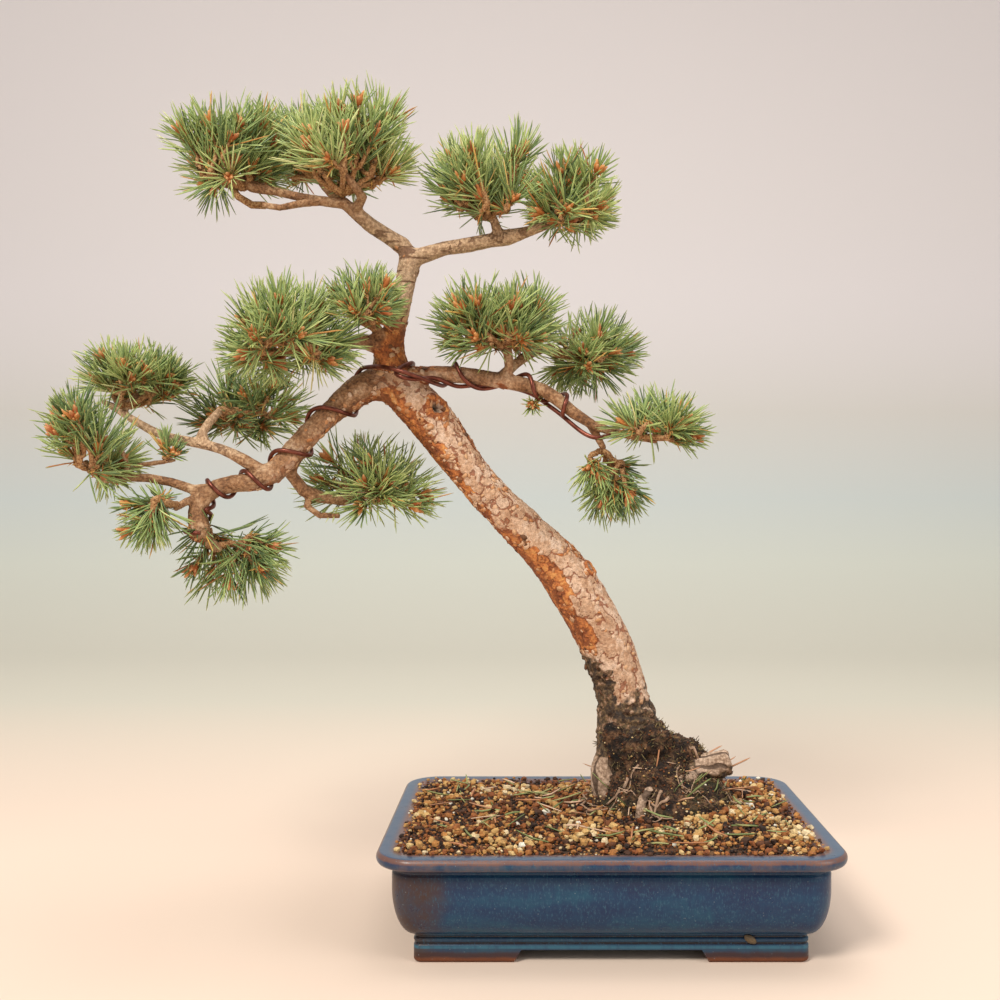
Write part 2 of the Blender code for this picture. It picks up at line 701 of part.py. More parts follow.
def make_wires(bark):
    first = [
        *reversed(winding(RIGHT_BRANCH, RIGHT_WINDING)),
        *(in_place(point) for point in WIRE_CROSSING),
        *winding(LEFT_LIMB, LEFT_WINDING),
    ]
    first = settled(resampled([tuple(p) for p in first], WIRE_SPACING), bark, [])
    second = [
        *winding(LEFT_LIMB, SECOND_LEFT_WINDING),
        *(in_place(point) for point in SECOND_WIRE_CROSSING),
        *winding(RIGHT_BRANCH, SECOND_RIGHT_WINDING),
        *(in_place(point) for point in SECOND_WIRE_END),
    ]
    second = settled(resampled([tuple(p) for p in second], WIRE_SPACING), bark, finely(first))
    return {"training_wire": first, "second_training_wire": second}


# The needle pads


def pad_mesh(centre, half, grow):
    """A soft cushion of needles: rounder above than below."""
    bm = bmesh.new()
    bmesh.ops.create_uvsphere(bm, u_segments=12, v_segments=7, radius=1.0)
    for vert in bm.verts:
        if vert.co.z < 0:
            vert.co.z *= PAD_FLAT
    bmesh.ops.scale(bm, vec=[value * MM * TREE_SCALE + grow for value in half], verts=bm.verts)
    bmesh.ops.translate(bm, vec=in_place(centre), verts=bm.verts)
    return mesh_of(bm, "pad")


def boxes_meet(first, second):
    """Whether two centre-and-half-size boxes overlap."""
    return all(
        abs(a - b) < c + d for a, b, c, d in zip(first[0], second[0], first[1], second[1])
    )


def make_pads(wood_cutter, wire_cutters):
    needles = material("pine_needles", (0.1, 0.2, 0.035), 0.6)
    done = []
    for name, (centre, half) in PADS.items():
        body = helper_from(pad_mesh(centre, half, 0.0), f"{name} body")
        cutters = [wood_cutter, *wire_cutters]
        cutters += [cutter for shape, cutter in done if boxes_meet(shape, (centre, half))]
        part_from(combined(name, body, cutters, "DIFFERENCE"), name, needles)
        cutter = helper_from(pad_mesh(centre, half, 2 * CLEARANCE), f"{name} cutter")
        done.append(((centre, half), cutter))


def stand_at_origin():
    """The whole object with the middle of its base at the origin."""
    bpy.context.view_layer.update()
    corners = [
        part.matrix_world @ Vector(corner) for part in PARTS.objects for corner in part.bound_box
    ]
    low = [min(corner[axis] for corner in corners) for axis in range(3)]
    high = [max(corner[axis] for corner in corners) for axis in range(3)]
    stand = bpy.data.objects.new("bonsai_tree_stand", None)
    stand.location = (-(low[0] + high[0]) / 2, -(low[1] + high[1]) / 2, -low[2])
    for part in list(PARTS.objects):
        part.parent = stand
    PARTS.objects.link(stand)


make_pot()
make_drainage()

bark_brown = material("pine_bark", (0.36, 0.2, 0.11), 0.85)
wood = part_from(wood_mesh("wood", 0.0), "trunk_and_limbs", bark_brown)
wood_cutter = helper_from(wood_mesh("wood cutter", CLEARANCE), "wood cutter")

muck = helper_from(muck_mesh("muck", 0.0), "muck body")
boolean(muck, pot_inside(CLEARANCE), "INTERSECT")
muck_dark = material("mossy_muck", (0.035, 0.026, 0.017), 0.95)
part_from(combined("muck", muck, [wood_cutter], "DIFFERENCE"), "root_muck", muck_dark)
muck_cutter = helper_from(muck_mesh("muck cutter", CLEARANCE), "muck cutter")
make_soil([muck_cutter, wood_cutter])

bark_tree = BVHTree.FromPolygons(
    [vert.co.copy() for vert in wood.data.vertices],
    [tuple(face.vertices) for face in wood.data.polygons],
)
wire_brown = material("anodised_wire", (0.11, 0.035, 0.022), 0.35, 0.85)
wire_cutters = []
for wire_name, wire_points in make_wires(bark_tree).items():
    count = len(wire_points)
    part_from(tube(wire_name, wire_points, [WIRE_RADIUS] * count, 1), wire_name, wire_brown)
    grown = tube("grown wire", wire_points, [WIRE_RADIUS + CLEARANCE] * count, 1)
    wire_cutters.append(helper_from(grown, f"{wire_name} cutter"))

make_pads(wood_cutter, wire_cutters)
stand_at_origin()
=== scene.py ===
import math
import random

import bmesh
import bpy
import numpy as np
from mathutils import Matrix, Vector, noise
from mathutils.bvhtree import BVHTree


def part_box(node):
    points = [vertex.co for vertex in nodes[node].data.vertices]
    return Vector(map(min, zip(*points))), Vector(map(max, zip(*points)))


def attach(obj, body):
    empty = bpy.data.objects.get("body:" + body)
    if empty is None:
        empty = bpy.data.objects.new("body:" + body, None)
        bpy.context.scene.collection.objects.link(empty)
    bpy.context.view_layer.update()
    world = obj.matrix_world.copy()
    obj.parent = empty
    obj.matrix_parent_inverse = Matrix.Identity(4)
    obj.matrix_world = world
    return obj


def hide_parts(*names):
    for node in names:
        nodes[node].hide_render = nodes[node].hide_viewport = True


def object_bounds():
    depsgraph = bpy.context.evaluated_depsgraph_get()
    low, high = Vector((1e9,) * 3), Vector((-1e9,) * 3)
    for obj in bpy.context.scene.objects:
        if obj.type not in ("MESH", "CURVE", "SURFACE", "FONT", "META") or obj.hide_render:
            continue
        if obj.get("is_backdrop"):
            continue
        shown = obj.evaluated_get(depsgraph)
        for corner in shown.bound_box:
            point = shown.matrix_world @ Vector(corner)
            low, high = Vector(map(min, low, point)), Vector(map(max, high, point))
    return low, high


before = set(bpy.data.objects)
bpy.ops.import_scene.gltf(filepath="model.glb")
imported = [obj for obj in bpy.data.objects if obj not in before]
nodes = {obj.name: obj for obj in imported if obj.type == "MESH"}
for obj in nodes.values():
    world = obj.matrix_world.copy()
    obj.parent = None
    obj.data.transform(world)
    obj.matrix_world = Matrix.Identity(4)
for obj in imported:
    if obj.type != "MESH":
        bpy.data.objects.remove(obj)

MM = 0.001
cad_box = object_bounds()


# The pot: a stoneware rectangle pressed in a mould, with a rolled rim, a swelling belly, a grooved
# plinth and four corner feet cut from it. Blue glaze covers all but the soles, and breaks to brown
# clay where it runs thin on the edges; a near-black line of painted shade runs along each groove.

class Tone:
    """A shader socket that takes part in Python sums and adds its own Math nodes."""

    def __init__(self, finish, socket):
        self.finish = finish
        self.socket = socket

    def math(self, operation, a, b):
        return self.finish.node("Math", {"operation": operation}, {0: a, 1: b})

    def __add__(self, other):
        return self.math("ADD", self, other)

    def __sub__(self, other):
        return self.math("SUBTRACT", self, other)

    def __rsub__(self, other):
        return self.math("SUBTRACT", other, self)

    def __mul__(self, other):
        return self.math("MULTIPLY", self, other)

    def __truediv__(self, other):
        return self.math("DIVIDE", self, other)

    __radd__ = __add__
    __rmul__ = __mul__


class Finish:
    """A piece's material, whose nodes all come from one method."""

    def __init__(self, name, roughness, metallic=0.0):
        self.material = bpy.data.materials.new(name)
        self.material.use_nodes = True
        self.tree = self.material.node_tree
        self.shader = self.tree.nodes["Principled BSDF"]
        self.shader.inputs["Roughness"].default_value = roughness
        self.shader.inputs["Metallic"].default_value = metallic
        self.place = self.node("TexCoord", {}, {}, "Object")

    def node(self, kind, settings, sockets, out=0):
        made = self.tree.nodes.new("ShaderNode" + kind)
        for name, setting in settings.items():
            if name == "stops":
                self.fill_ramp(made.color_ramp, setting)
            else:
                setattr(made, name, setting)
        for name, value in sockets.items():
            if isinstance(value, Tone):
                self.tree.links.new(value.socket, made.inputs[name])
            else:
                made.inputs[name].default_value = value
        return Tone(self, made.outputs[out])

    def fill_ramp(self, ramp, stops):
        while len(ramp.elements) < len(stops):
            ramp.elements.new(0.5)
        for element, (position, colour) in zip(ramp.elements, stops):
            element.position = position
            element.color = (*colour, 1.0)

    def mix(self, share, a, b):
        a = a if isinstance(a, Tone) else (*a, 1.0)
        b = b if isinstance(b, Tone) else (*b, 1.0)
        return self.node("Mix", {"data_type": "RGBA"}, {0: share, 6: a, 7: b}, 2)

    def tinted(self, colour, by):
        """The colour made lighter or darker by a number that varies."""
        grey = self.node("CombineColor", {}, {0: by, 1: by, 2: by})
        return self.node("Mix", {"data_type": "RGBA", "blend_type": "MULTIPLY"}, {0: 1.0, 6: colour, 7: grey}, 2)

    def band(self, value, low, high, smallest=0.0, largest=1.0):
        """The value carried smoothly from one range to another, and held at its ends."""
        return self.node(
            "MapRange",
            {"interpolation_type": "SMOOTHSTEP"},
            {0: value, 1: low, 2: high, 3: smallest, 4: largest},
        )

    def noise(self, scale, detail=3.0, roughness=0.5, place=None, distortion=0.0):
        return self.node(
            "TexNoise",
            {},
            {
                "Vector": place or self.place,
                "Scale": scale,
                "Detail": detail,
                "Roughness": roughness,
                "Distortion": distortion,
            },
        )

    def cells(self, scale, feature="F1", out="Distance", place=None):
        return self.node(
            "TexVoronoi", {"feature": feature}, {"Vector": place or self.place, "Scale": scale}, out
        )

    def stretched(self, x, y, z):
        return self.node("Mapping", {}, {"Vector": self.place, "Scale": (x, y, z)})

    def value_of(self, name):
        return self.node("Attribute", {"attribute_name": name}, {}, "Fac")

    def bump(self, height, strength, distance):
        relief = self.node("Bump", {}, {"Height": height, "Strength": strength, "Distance": distance})
        self.wear("Normal", relief)

    def wear(self, socket, value):
        if isinstance(value, Tone):
            self.tree.links.new(value.socket, self.shader.inputs[socket])
        else:
            self.shader.inputs[socket].default_value = value


def fitted(mesh, name, finish, replaced=()):
    """A finished piece of the object, which rides on its one body."""
    mesh.materials.clear()
    mesh.materials.append(finish.material)
    piece = bpy.data.objects.new(name, mesh)
    bpy.context.scene.collection.objects.link(piece)
    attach(piece, "root")
    if replaced:
        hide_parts(*replaced)
    return piece


def mesh_from(bm, name, smooth_below=40):
    bm.normal_update()
    mesh = bpy.data.meshes.new(name)
    bm.to_mesh(mesh)
    bm.free()
    mesh.shade_smooth()
    mesh.set_sharp_from_angle(angle=math.radians(smooth_below))
    return mesh


pot_low, pot_high = (Vector(corner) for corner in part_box("pot"))
pot_centre = Vector(((pot_low.x + pot_high.x) / 2, (pot_low.y + pot_high.y) / 2, 0))
RIM_TOP = pot_high.z
POT_HALF = ((pot_high.x - pot_low.x) / 2, (pot_high.y - pot_low.y) / 2)
RIM_CORNER = 27 * MM
RIM_WIDTH = 18 * MM
BODY_INSET = 10.4 * MM
FOOT_INSET = 24.5 * MM
FOOT_HEIGHT = 8.6 * MM
FLOOR_TOP = 17 * MM
FOOT_LENGTH = 71 * MM
FOOT_DEPTH = 48 * MM
FOOT_SLOPE = 5 * MM
FOOT_WALL = 15 * MM
DRAIN_RADIUS = 10 * MM
DRAIN_X = 75 * MM


def swept(centre, radii, start, end, steps):
    """Points (inset, height) along an ellipse's arc between two angles."""
    turns = [math.radians(start + (end - start) * step / steps) for step in range(steps + 1)]
    return [(centre[0] + radii[0] * math.cos(a), centre[1] + radii[1] * math.sin(a)) for a in turns]


def groove(height):
    depth = 1.3 * MM
    return [
        (FOOT_INSET, height - 1.6 * MM),
        (FOOT_INSET + 0.3 * MM, height - 1.0 * MM),
        (FOOT_INSET + depth, height - 0.3 * MM),
        (FOOT_INSET + depth, height + 0.3 * MM),
        (FOOT_INSET + 0.3 * MM, height + 1.0 * MM),
        (FOOT_INSET, height + 1.6 * MM),
    ]


POT_OUTSIDE = [
    *swept((FOOT_INSET + 2.5 * MM, 2.5 * MM), (2.5 * MM, 2.5 * MM), 270, 180, 5),
    (FOOT_INSET, FOOT_HEIGHT),
    *groove(FOOT_HEIGHT + 4.2 * MM),
    *groove(FOOT_HEIGHT + 8.4 * MM),
    *swept((FOOT_INSET, 49.7 * MM), (BODY_INSET - FOOT_INSET, -30.1 * MM), 90, 0, 18),
    (BODY_INSET, 55 * MM),
    (BODY_INSET, 60 * MM),
    (BODY_INSET + 0.5 * MM, 60.9 * MM),
    (BODY_INSET + 1.4 * MM, 61.8 * MM),
    (BODY_INSET + 1.5 * MM, 62.8 * MM),
    (BODY_INSET + 0.6 * MM, 63.8 * MM),
    (BODY_INSET - 1.2 * MM, 64.9 * MM),
    (BODY_INSET - 3.6 * MM, 65.8 * MM),
    (4.6 * MM, 66.2 * MM),
    *swept((3.4 * MM, RIM_TOP - 4.1 * MM), (3.4 * MM, 4.1 * MM), 262, 90, 14),
]
POT_INSIDE = [
    (7 * MM, RIM_TOP - 0.15 * MM),
    (11 * MM, RIM_TOP - 0.35 * MM),
    (RIM_WIDTH - 3 * MM, RIM_TOP - 0.8 * MM),
    (RIM_WIDTH - 1.2 * MM, RIM_TOP - 1.3 * MM),
    (RIM_WIDTH - 0.3 * MM, RIM_TOP - 2.1 * MM),
    (RIM_WIDTH, RIM_TOP - 3.4 * MM),
    (RIM_WIDTH + 0.6 * MM, 49.7 * MM),
    (RIM_WIDTH + 2 * MM, 40 * MM),
    (RIM_WIDTH + 5 * MM, FLOOR_TOP + 14 * MM),
    (RIM_WIDTH + 11 * MM, FLOOR_TOP + 4 * MM),
    (RIM_WIDTH + 20 * MM, FLOOR_TOP),
]


def pressed_pot():
    """The pot's skin: a rounded rectangle drawn up ring by ring, then down inside."""
    bm = bmesh.new()
    way = bm.verts.layers.float_vector.new("way")
    start = bmesh.ops.create_circle(bm, segments=64, radius=1.0)["verts"]
    bmesh.ops.rotate(bm, cent=(0, 0, 0), matrix=Matrix.Rotation(math.pi / 64, 3, "Z"), verts=start)
    for vert in start:
        vert[way] = vert.co
    edges = list(bm.edges)

    def lay(verts, inset, height):
        corner = max(RIM_CORNER - inset, 5 * MM)
        for vert in verts:
            turn = vert[way]
            x = math.copysign(POT_HALF[0] - inset - corner, turn.x) + corner * turn.x
            y = math.copysign(POT_HALF[1] - inset - corner, turn.y) + corner * turn.y
            vert.co = (x + pot_centre.x, y + pot_centre.y, height)

    rings = POT_OUTSIDE + POT_INSIDE
    lay(start, *rings[0])
    bmesh.ops.edgenet_fill(bm, edges=edges)
    for inset, height in rings[1:]:
        drawn = bmesh.ops.extrude_edge_only(bm, edges=edges)["geom"]
        edges = [item for item in drawn if isinstance(item, bmesh.types.BMEdge)]
        lay([item for item in drawn if isinstance(item, bmesh.types.BMVert)], inset, height)
    bmesh.ops.edgenet_fill(bm, edges=edges)
    bmesh.ops.recalc_face_normals(bm, faces=bm.faces)
    return bm


def cutter_from(bm):
    bmesh.ops.recalc_face_normals(bm, faces=bm.faces)
    mesh = bpy.data.meshes.new("cutter")
    bm.to_mesh(mesh)
    bm.free()
    cutter = bpy.data.objects.new("cutter", mesh)
    bpy.context.scene.collection.objects.link(cutter)
    return cutter


def foot_gap(half_gap, reach, across):
    """A bar as wide as the gap between two feet, wider towards the soles."""
    bm = bmesh.new()
    bmesh.ops.create_cube(bm, size=2.0)
    for vert in bm.verts:
        low = vert.co.z < 0
        width = half_gap + (FOOT_SLOPE * 1.3 if low else 0.0)
        height = -FOOT_HEIGHT * 0.3 if low else FOOT_HEIGHT
        x = vert.co.x * (reach if across else width)
        y = vert.co.y * (width if across else reach)
        vert.co = (x + pot_centre.x, y + pot_centre.y, height)
    return cutter_from(bm)


def under_recess():
    bm = bmesh.new()
    bmesh.ops.create_cube(bm, size=2.0)
    half = [side - FOOT_INSET - FOOT_WALL for side in POT_HALF]
    bmesh.ops.scale(bm, vec=(half[0], half[1], FOOT_HEIGHT), verts=bm.verts)
    upright = [edge for edge in bm.edges if abs(edge.verts[0].co.z - edge.verts[1].co.z) > FOOT_HEIGHT]
    bmesh.ops.bevel(
        bm, geom=upright, offset=8 * MM, affect="EDGES", segments=5, profile=0.5, material=-1
    )
    bmesh.ops.translate(bm, vec=pot_centre, verts=bm.verts)
    return cutter_from(bm)


def drain_hole(x):
    bm = bmesh.new()
    bmesh.ops.create_cone(
        bm, cap_ends=True, segments=40, radius1=DRAIN_RADIUS, radius2=DRAIN_RADIUS, depth=30 * MM
    )
    bmesh.ops.translate(bm, vec=pot_centre + Vector((x, 0, FLOOR_TOP)), verts=bm.verts)
    return cutter_from(bm)


def shaped(obj):
    """The object's mesh with its modifiers applied, and the object gone."""
    bpy.context.view_layer.update()
    graph = bpy.context.evaluated_depsgraph_get()
    mesh = bpy.data.meshes.new_from_object(obj.evaluated_get(graph))
    bpy.data.objects.remove(obj, do_unlink=True)
    return mesh


pot_body = cutter_from(pressed_pot())
pot_cuts = [
    foot_gap(POT_HALF[0] - FOOT_INSET - FOOT_LENGTH, 0.2, False),
    foot_gap(POT_HALF[1] - FOOT_INSET - FOOT_DEPTH, 0.3, True),
    under_recess(),
    drain_hole(-DRAIN_X),
    drain_hole(DRAIN_X),
]
for cut in pot_cuts:
    carve = pot_body.modifiers.new("cut", "BOOLEAN")
    carve.operation = "DIFFERENCE"
    carve.solver = "EXACT"
    carve.object = cut
pot_mesh = shaped(pot_body)
for cut in pot_cuts:
    bpy.data.objects.remove(cut, do_unlink=True)
pot_mesh.shade_smooth()
pot_mesh.set_sharp_from_angle(angle=math.radians(50))

glaze = Finish("blue_glaze", 0.2)
height_up = glaze.node("SeparateXYZ", {}, {"Vector": glaze.place}, "Z")
from_left = glaze.node("SeparateXYZ", {}, {"Vector": glaze.place}, "X") - pot_centre.x
cloud = glaze.noise(9, 5, 0.6)
drift = glaze.noise(1.0, 4, 0.62, glaze.stretched(11, 11, 46))
mottle = glaze.noise(55, 5, 0.65)
runs = glaze.noise(1.0, 3, 0.6, glaze.stretched(260, 260, 45))
blue = glaze.node(
    "ValToRGB",
    {"stops": [(0.38, (0.0, 0.016, 0.066)), (0.5, (0.0, 0.03, 0.086)), (0.6, (0.002, 0.055, 0.108))]},
    {0: drift * 0.6 + mottle * 0.2 + runs * 0.2},
)
brown_end = glaze.band(from_left + cloud * 0.11, -0.042, -0.072) * glaze.band(height_up, 0.07, 0.058)
blue = glaze.mix(brown_end * glaze.band(mottle, 0.25, 0.6, 0.6, 1.0), blue, (0.044, 0.02, 0.016))
# The rim's flat top is painted a lighter grey-blue, flecked by the mottle: a painted highlight from the light above.
painted_rim_highlight = glaze.band(height_up, 0.0728, 0.0742) * glaze.band(mottle, 0.25, 0.65, 0.45, 0.95)
blue = glaze.mix(painted_rim_highlight, blue, (0.062, 0.105, 0.17))
foot_light = glaze.band(height_up + cloud * 0.01, 0.032, 0.012, 0.0, 0.35)
blue = glaze.mix(foot_light, blue, (0.04, 0.055, 0.065))
lip = glaze.band(height_up, 0.0655, 0.0672) * glaze.band(height_up, 0.0745, 0.0728)
lip_edge = glaze.band(height_up + mottle * 0.002, 0.0716, 0.0738) * glaze.band(height_up, 0.0746, 0.0742)
lip_low = glaze.band(height_up + mottle * 0.003, 0.0705, 0.0685) * lip
brown_lip = glaze.mix(mottle, (0.12, 0.05, 0.032), (0.22, 0.1, 0.062))
blue = glaze.mix(glaze.band(mottle + runs * 0.5, 0.6, 0.95, 0.0, 0.4) * lip, blue, brown_lip)
blue = glaze.mix(glaze.band(lip_edge + lip_low * 0.45, 0.0, 1.0, 0.0, 0.85), blue, brown_lip)
# A near-black brown line is painted along the middle of each groove: painted shade in the grooves.
groove_shade_line = glaze.band(height_up, 0.0162, 0.0168) * glaze.band(height_up, 0.0179, 0.0173)
groove_shade_line = groove_shade_line + glaze.band(height_up, 0.0118, 0.0122) * glaze.band(height_up, 0.0136, 0.0131)
blue = glaze.mix(groove_shade_line * 0.85, blue, (0.024, 0.013, 0.012))
pool_line = glaze.band(height_up, 0.0089, 0.0098) * glaze.band(height_up, 0.0118, 0.0108)
blue = glaze.mix(pool_line * glaze.band(runs, 0.25, 0.6, 0.3, 1.0), blue, (0.022, 0.1, 0.15))
clay = glaze.mix(glaze.noise(90, 4, 0.6), (0.08, 0.022, 0.007), (0.19, 0.055, 0.016))
brown_foot = glaze.band(height_up + mottle * 0.004, 0.0104, 0.0078, 0.0, 0.8)
blue = glaze.mix(brown_foot, blue, (0.045, 0.013, 0.007))
bare = glaze.band(height_up + mottle * 0.003, 0.0062, 0.0038)
blue = glaze.mix(bare, blue, clay)
specks = glaze.cells(420)
speck_size = glaze.noise(300, 2, 0.5)
speck = glaze.band(specks, 0.2, 0.1) * glaze.band(speck_size, 0.53, 0.64)
blue = glaze.mix(speck * 0.5, blue, (0.25, 0.3, 0.32))
fine_runs = glaze.noise(1.0, 3, 0.7, glaze.stretched(900, 900, 330))
dust = glaze.band(fine_runs, 0.52, 0.68) * glaze.band(cloud, 0.38, 0.56, 0.25, 0.75)
blue = glaze.mix(dust * glaze.band(height_up, 0.009, 0.012), blue, (0.025, 0.09, 0.145))
glaze.wear("Base Color", blue)
glaze.wear("Roughness", glaze.band(mottle + bare + speck, 0.2, 1.4, 0.26, 0.75))
glaze.wear("Coat Weight", 0.1)
glaze.wear("Specular IOR Level", 0.4)
glaze.wear("Coat Roughness", 0.15)
glaze.bump(cloud * 1.6 + mottle * 0.5 + runs * 0.25 + specks * 0.02, 0.35, 0.0008)
fitted(pot_mesh, "glazed_pot", glaze, ["pot"])


# A husk of bark has stuck to the plinth's groove near the right front foot.

husk_bm = bmesh.new()
bmesh.ops.create_uvsphere(husk_bm, u_segments=14, v_segments=9, radius=1.0)
bmesh.ops.scale(husk_bm, vec=(4.6 * MM, 1.4 * MM, 2.6 * MM), verts=husk_bm.verts)
bmesh.ops.rotate(husk_bm, cent=(0, 0, 0), matrix=Matrix.Rotation(math.radians(32), 3, "Y"), verts=husk_bm.verts)
husk_place = Vector((pot_centre.x + 91 * MM, pot_low.y + FOOT_INSET - 0.3 * MM, 15.8 * MM))
bmesh.ops.translate(husk_bm, vec=husk_place, verts=husk_bm.verts)
husk = Finish("stuck_husk", 0.55)
husk_streak = husk.noise(1.0, 3, 0.6, husk.stretched(300, 900, 900))
husk.wear("Base Color", husk.mix(husk_streak, (0.025, 0.018, 0.01), (0.2, 0.13, 0.06)))
husk.bump(husk_streak, 0.4, 0.0004)
fitted(mesh_from(husk_bm, "husk"), "stuck_husk", husk)


# Plastic netting lies over each drain hole and keeps the soil in. A staple of steel wire holds it,
# its legs bent flat under the pot's floor.

netting = Finish("black_netting", 0.5)
netting_grain = netting.noise(900, 3, 0.6)
netting.wear("Base Color", netting.mix(netting_grain, (0.012, 0.012, 0.013), (0.04, 0.04, 0.042)))
netting.bump(netting_grain, 0.2, 0.0002)
steel = Finish("staple_steel", 0.38, 1.0)
drawn_lines = steel.noise(1.0, 3, 0.6, steel.stretched(250, 2500, 2500))
steel.wear("Base Color", steel.mix(drawn_lines, (0.3, 0.28, 0.26), (0.5, 0.48, 0.46)))
steel.wear("Roughness", steel.band(drawn_lines, 0.2, 0.8, 0.3, 0.5))
for side in ("left", "right"):
    for node_name, finish in (
        (f"drainage_netting_{side}", netting),
        (f"netting_clip_{side}", steel),
    ):
        kept = nodes[node_name]
        kept.data.materials.clear()
        kept.data.materials.append(finish.material)


# The soil: fired-clay granules, pumice and lava grit, 3 to 7 mm across. Its bulk fills the pot, and
# the loose granules of the top lie over one another, up to and a little over the rim's inner edge.

SOIL_EDGE = RIM_TOP - 1.6 * MM
SOIL_REACH = 11.5 * MM
tree_foot = Vector((pot_centre.x + 26 * MM, pot_centre.y + 38 * MM, RIM_TOP - 0.7 * MM))
PEBBLE_SEED = 11


def soil_height(x, y):
    """The height of the soil's top, which is crowned in the middle and rises to the tree."""
    inset = min(POT_HALF[0] - abs(x - pot_centre.x), POT_HALF[1] - abs(y - pot_centre.y))
    rise = min(max((inset - RIM_WIDTH) / (40 * MM), 0.0), 1.0)
    swell = noise.noise(Vector((x * 28, y * 28, 3.0))) * 1.3 * MM
    return SOIL_EDGE + 3.2 * MM * math.sin(rise * math.pi / 2) + swell * rise


def merged_copy(node_name):
    """A bmesh of a CAD node with its loose triangles joined."""
    bm = bmesh.new()
    bm.from_mesh(nodes[node_name].data)
    bmesh.ops.remove_doubles(bm, verts=bm.verts, dist=0.01 * MM)
    return bm


bulk = merged_copy("soil")
top_faces = [face for face in bulk.faces if face.normal.z > 0.5 and face.calc_center_median().z > 0.06]
bmesh.ops.triangulate(bulk, faces=top_faces)
for _ in range(3):
    wide = [
        edge
        for edge in bulk.edges
        if edge.calc_length() > 9 * MM and all(vert.co.z > 0.066 for vert in edge.verts)
    ]
    bmesh.ops.subdivide_edges(bulk, edges=wide, cuts=1)
    bmesh.ops.triangulate(bulk, faces=bulk.faces)
for vert in bulk.verts:
    if vert.co.z > 0.07 and vert.normal.z > 0.5:
        vert.co.z = soil_height(vert.co.x, vert.co.y) - 1.2 * MM
bulk_finish = Finish("soil_bulk", 0.95)
bulk_grain = bulk_finish.cells(190, "F1", "Color")
bulk_tone = bulk_finish.node("SeparateColor", {}, {"Color": bulk_grain})
bulk_gap = bulk_finish.cells(190, "DISTANCE_TO_EDGE")
bulk_colour = bulk_finish.node(
    "ValToRGB",
    {"stops": [(0.0, (0.02, 0.01, 0.006)), (0.5, (0.07, 0.032, 0.014)), (1.0, (0.18, 0.09, 0.035))]},
    {0: bulk_tone},
)
# The gaps between the cells are painted near black: painted shade between the packed granules.
bulk_finish.wear(
    "Base Color", bulk_finish.mix(bulk_finish.band(bulk_gap, 0.12, 0.0), bulk_colour, (0.014, 0.008, 0.005))
)
bulk_finish.bump(bulk_gap, 0.6, 0.001)
fitted(mesh_from(bulk, "soil_bulk"), "soil_bulk", bulk_finish, ["soil"])


def corners_of(bm):
    """A small shape as its corner points and its triangles."""
    bmesh.ops.triangulate(bm, faces=bm.faces)
    bm.verts.ensure_lookup_table()
    points = np.array([vert.co[:] for vert in bm.verts])
    faces = np.array([[vert.index for vert in face.verts] for face in bm.faces])
    bm.free()
    return points, faces


def strewn(name, shapes, places, along=None):
    """One mesh of many copies of small shapes. A place is (matrix, tone, which shape).

    Each corner keeps its copy's tone and its place along the shape in the UV map OFBake.
    """
    points, faces, marks, start = [], [], [], 0
    for which, (shape_points, shape_faces) in enumerate(shapes):
        chosen = [place for place in places if place[2] % len(shapes) == which]
        if not chosen:
            continue
        moves = np.array([place[0] for place in chosen])
        tones = np.array([place[1] for place in chosen])
        placed = shape_points @ moves[:, :3, :3].transpose(0, 2, 1) + moves[:, None, :3, 3]
        steps = start + np.arange(len(chosen)) * len(shape_points)
        triangles = shape_faces[None] + steps[:, None, None]
        share = along(shape_points) if along else np.full(len(shape_points), 0.5)
        corner_share = np.broadcast_to(share[shape_faces], (len(chosen), *shape_faces.shape))
        corner_tone = np.broadcast_to(tones[:, None, None], corner_share.shape)
        points.append(placed.reshape(-1, 3))
        faces.append(triangles.reshape(-1, 3))
        marks.append(np.stack([corner_share, corner_tone], axis=-1).reshape(-1, 2))
        start += len(chosen) * len(shape_points)
    mesh = bpy.data.meshes.new(name)
    mesh.from_pydata(np.concatenate(points).tolist(), [], np.concatenate(faces).tolist())
    layer = mesh.uv_layers.new(name="OFBake")
    layer.data.foreach_set("uv", np.concatenate(marks).astype(np.float32).ravel())
    mesh.shade_smooth()
    return mesh


def pebble(seed, detail):
    """A worn, blocky granule about 2 across."""
    chance = random.Random(seed)
    bm = bmesh.new()
    if detail:
        bmesh.ops.create_cube(bm, size=1.5)
        bmesh.ops.bevel(
            bm, geom=bm.edges[:], offset=0.34, affect="EDGES", segments=1, profile=0.5, material=-1
        )
    else:
        bmesh.ops.create_icosphere(bm, subdivisions=1, radius=1.0)
    lean = Vector([chance.uniform(-0.3, 0.3) for _ in range(3)])
    for vert in bm.verts:
        vert.co *= chance.uniform(0.8, 1.12)
        vert.co.x += vert.co.z * lean.x
        vert.co.y += vert.co.z * lean.y
        vert.co.z += vert.co.x * lean.z
    return corners_of(bm)


def tumbled(chance, point, size, flat=0.75):
    """A place for a granule: any way up, and a little flat."""
    turn = Matrix.Rotation(chance.uniform(0, math.tau), 4, "Z") @ Matrix.Rotation(
        chance.uniform(-0.5, 0.5), 4, (chance.uniform(-1, 1), chance.uniform(-1, 1), 0.2)
    )
    stretch = Matrix.Diagonal(
        (size * chance.uniform(0.8, 1.2), size * chance.uniform(0.75, 1.05), size * flat, 1)
    )
    return Matrix.Translation(point) @ turn @ stretch


def in_pot(x, y, inset):
    """Whether a point is inside the rounded rectangle this far in from the rim's edge."""
    corner = max(RIM_CORNER - inset, 5 * MM)
    dx = abs(x - pot_centre.x) - (POT_HALF[0] - inset - corner)
    dy = abs(y - pot_centre.y) - (POT_HALF[1] - inset - corner)
    return math.hypot(max(dx, 0), max(dy, 0)) < corner


